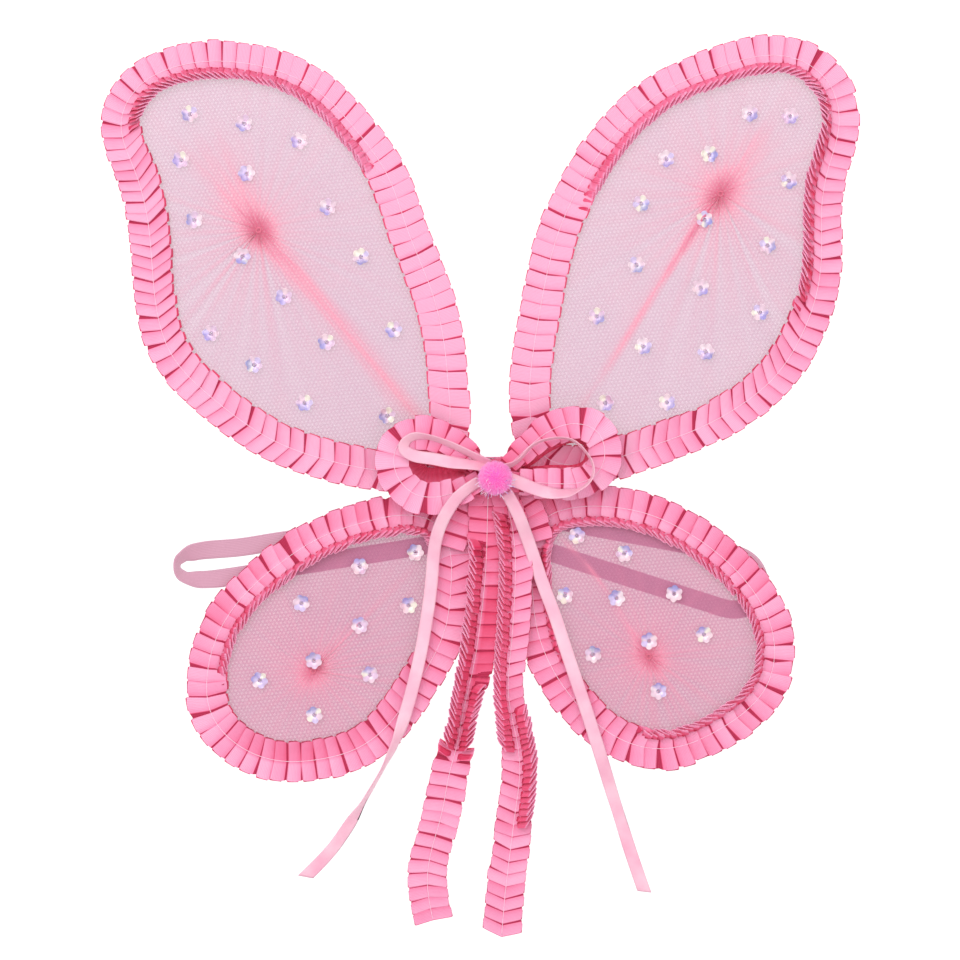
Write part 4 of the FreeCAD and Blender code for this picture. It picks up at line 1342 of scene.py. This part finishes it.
def ball_mesh(centre, radius, rings=16, sides=24):
    polar = np.linspace(0.06, math.pi - 0.06, rings)
    around = np.linspace(0, 2 * math.pi, sides, endpoint=False)
    p, a = np.meshgrid(polar, around, indexing="ij")
    way = np.stack([np.sin(p) * np.cos(a), np.sin(p) * np.sin(a), np.cos(p)], -1)
    return (np.array(centre) + way * radius).reshape(-1, 3), capped_faces(rings, sides)


def make_pom_pom():
    low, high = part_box("pom_pom")
    centre = np.array((low + high) / 2)
    rnd = np.random.default_rng(5)
    parts = []
    shades_and_tints = []
    way = unit(rnd.normal(0, 1, (POM_FIBRES, 3)))
    ball, ball_faces = ball_mesh(centre, POM_RADIUS * 0.80)
    parts.append((ball, ball_faces))
    # painted shade: the core ball is dark, as the shade deep inside the pom
    shades_and_tints.append(np.full(len(ball), 0.25))
    reach = POM_RADIUS * rnd.uniform(0.86, 1.06, POM_FIBRES)
    drift = unit(np.cross(way, rnd.normal(0, 1, (POM_FIBRES, 3))))
    for direction, length, aside in zip(way, reach, drift):
        t = np.linspace(0.35, 1, 5)[:, None]
        bend = aside * (0.0014 * (t - 0.35) ** 2)
        stem = centre + direction * length * t + bend
        points, faces = tube_mesh(stem, FIBRE_RADII, 3)
        parts.append((points, faces))
        # painted shade: each fibre is darker near the core and paler at its tip, with a random tint
        shade = np.repeat(np.linspace(0.2, 0.95, 5), 3) + rnd.normal(0, 0.14)
        shades_and_tints.append(shade)
    points, faces = joined(parts)
    pom = mesh_piece("pom_pom_yarn", points, faces, YARN,
                     floats={"shade_and_tint": np.concatenate(shades_and_tints)})
    settle(pom, "root", "pom_pom")
    strands = []
    for _ in range(TINSEL_STRANDS):
        direction = unit(rnd.normal(0, 1, 3))
        if direction[1] > 0:
            direction[1] *= -1
        direction[2] = abs(direction[2]) * 0.8 if direction[2] > -0.3 else direction[2]
        direction = unit(direction)
        aside = unit(np.cross(direction, rnd.normal(0, 1, 3)))
        t = np.linspace(0.7, 1, 8)[:, None]
        length = POM_RADIUS * rnd.uniform(1.1, 1.36)
        stem = centre + direction * length * t + aside * 0.0016 * np.sin(t * rnd.uniform(3, 6))
        stem[:, 2] = np.minimum(stem[:, 2], high.z + 0.0008)
        strands.append(tube_mesh(stem, TINSEL_RADIUS, 3))
    points, faces = joined(strands)
    shine = mesh_piece("tinsel_strands", points, faces, TINSEL, smooth=False)
    settle(shine, "root", "pom_tinsel")


make_pom_pom()

# ---- middle: binding, patch, straps -----------------------------------------------------------
def make_binding():
    """Ribbon wound round the bundled wires in slanting turns."""
    low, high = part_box("centre_binding")
    middle = (low + high) / 2
    half = (high - low) / 2
    turns = 3.4
    count = 420
    across = np.linspace(-0.5, 0.5, 9)
    width = 9 * MM
    tt, vv = np.meshgrid(np.linspace(0, 1, count), across, indexing="ij")
    a = tt * turns * 2 * math.pi
    grow = 1 - 0.06 * (1 - tt)
    x = middle.x + (half.x - 0.3 * MM) * grow * np.sign(np.sin(a)) * np.abs(np.sin(a)) ** 0.55
    z = middle.z + (half.z - 0.3 * MM) * grow * np.sign(np.cos(a)) * np.abs(np.cos(a)) ** 0.55
    y = middle.y + (half.y - width * 0.5) * (2 * tt - 1) + vv * width
    points = np.stack([x, y, z], -1).reshape(-1, 3)
    around = 2 * (half.x + half.z) * 2 * turns * 0.92
    uv = np.stack([tt * around / MM, vv * width / MM], -1).reshape(-1, 2)
    # painted shade: deeper pink towards both edges of each turn
    shade_and_tint = np.clip(0.25 + 0.5 * np.abs(2 * vv) ** 4, 0, 1).ravel()
    wrap = mesh_piece("ribbon_wrap", points, grid_faces(count, len(across)), GROSGRAIN,
                      floats={"shade_and_tint": shade_and_tint}, uv=uv)
    thicken(wrap, RIBBON_THICKNESS)
    settle(wrap, "root", "centre_binding")


make_binding()


FELT_THICKNESS = 0.0012
PATCH_CORNER = 4 * MM
PATCH_STITCH = 0.00016      # radius of the thread, and how far it is lifted
STITCH_PITCH = 3.4 * MM


def make_patch():
    """Felt patch with rounded corners, and a row of hand stitches down each side."""
    low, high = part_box("back_patch")
    rows, columns = 60, 20
    points = []
    rnd = np.random.default_rng(12)
    radius = PATCH_CORNER
    for i in range(rows):
        y = low.y + (high.y - low.y) * i / (rows - 1)
        from_end = min(y - low.y, high.y - y)
        inset = radius - math.sqrt(max(0.0, radius ** 2 - (radius - from_end) ** 2)) \
            if from_end < radius else 0.0
        for j in range(columns):
            x0, x1 = low.x + inset, high.x - inset
            x = x0 + (x1 - x0) * j / (columns - 1)
            rim = min(from_end, x - low.x, high.x - x)
            z = (low.z + high.z) / 2 + 0.00012 * rnd.normal() * (rim > 0.0005)
            points.append((x, y, z))
    patch = mesh_piece("felt_patch", points, grid_faces(rows, columns), FELT)
    thicken(patch, FELT_THICKNESS)
    settle(patch, "root", "back_patch")
    stitches = []
    for x_side in (-1, 1):
        y = low.y + 5 * MM
        while y < high.y - 5 * MM:
            x = x_side * 7.6 * MM
            dash = np.array([(x, y, low.z + 0.05 * MM), (x, y + 0.6 * MM, low.z - 0.02 * MM),
                             (x, y + 1.6 * MM, low.z - 0.02 * MM),
                             (x, y + 2.2 * MM, low.z + 0.05 * MM)])
            dash[:, 2] += PATCH_STITCH
            stitches.append(tube_mesh(dash, PATCH_STITCH, 5))
            y += STITCH_PITCH
    points, faces = joined(stitches)
    seam = mesh_piece("patch_stitches", points, faces, STITCH_THREAD)
    settle(seam, "root")


make_patch()

# Where each strap leaves the straight, turns and comes back: x, y, height.
STRAP_TURNS_BACK = {
    "left": [(-140, -40, 0.7), (-153, -41, 1.6), (-163.5, -42.4, 4.0), (-170.6, -45.8, 5.4),
        (-172.8, -50.4, 5.4), (-170.4, -55, 5.0), (-163.5, -57.4, 3.4), (-154, -57.4, 1.6),
        (-140, -55.6, 0.7)],
    "right": [(122, -41, 0.55), (132, -43, 0.55), (141, -46.6, 0.55), (146.6, -53, 0.55),
        (148, -61, 0.55), (145.6, -68.6, 0.55), (139.6, -73.4, 0.55), (131.4, -74, 0.55),
        (122, -71.4, 0.55)],
}
STRAP_STARTS = (-19.5, -34.0)
STRAP_WIDTH = 0.010
STRAP_THICKNESS = 0.0008
STRAP_LOW = 0.55            # height of the straight runs
STRAP_TURNS = {
    "left": [(0, 0), (0.42, 0), (0.46, 22), (0.485, 60), (0.5, 78), (0.52, 60), (0.55, 24), (0.60, 0),
        (1, 0)],
    "right": LEVEL,
}


def straight_to(x, y, end, count=9):
    """Evenly spaced points from the patch up to, and without, the end of a straight run."""
    share = np.linspace(0, 1, count)[:-1]
    return [(x + (end[0] - x) * t, y + (end[1] - y) * t, STRAP_LOW + (end[2] - STRAP_LOW) * t)
            for t in share]


def make_straps():
    for side, turn_back in STRAP_TURNS_BACK.items():
        sign = -1 if side == "left" else 1
        route = straight_to(sign * 6, STRAP_STARTS[0], turn_back[0]) + turn_back \
            + straight_to(sign * 6, STRAP_STARTS[1], turn_back[-1])[::-1]
        line = Line(metres(route))
        turns = [(at, -sign * degrees) for at, degrees in STRAP_TURNS[side]]
        points, faces, uv, _ = ribbon_mesh(line, STRAP_WIDTH, STRAP_THICKNESS, turns, 0.0015)
        points[:, 2] = np.maximum(points[:, 2], 0.0001)
        strap = mesh_piece("elastic_strap_" + side, points, faces, ELASTIC, uv=uv)
        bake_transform(strap)
        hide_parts("shoulder_strap_" + side)


make_straps()
nodes["wire_twist"].data.materials[0] = STEEL

# ---- floor and light -------------------------------------------------------------------------
FLOOR_HEIGHT = -0.2         # under the wings when they are folded right back
FLOOR_REACH = 6.0
SKY_LIGHT = 0.66
# name, place, size and power
LAMPS = (("key", (-0.5, 0.7, 1.6), 1.6, 18), ("fill", (0.8, -0.3, 1.5), 1.8, 7))


def make_stage():
    corners = [(x * FLOOR_REACH, y * FLOOR_REACH, FLOOR_HEIGHT)
               for x, y in ((-1, -1), (1, -1), (1, 1), (-1, 1))]
    ground = mesh_piece("floor", corners, [(0, 1, 2, 3)], floor_material(), smooth=False)
    for name, place, size, power in LAMPS:
        data = bpy.data.lights.new(name, "AREA")
        data.size = size
        data.energy = power
        lamp = bpy.data.objects.new(name, data)
        lamp.location = place
        lamp.rotation_euler = Vector(place).to_track_quat("Z", "Y").to_euler()
        bpy.context.scene.collection.objects.link(lamp)
    world = bpy.data.worlds.new("studio")
    world.use_nodes = True
    world.node_tree.nodes["Background"].inputs[0].default_value = (1, 1, 1, 1)
    world.node_tree.nodes["Background"].inputs[1].default_value = SKY_LIGHT
    bpy.context.scene.world = world


make_stage()
bpy.context.scene.view_settings.view_transform = "Standard"
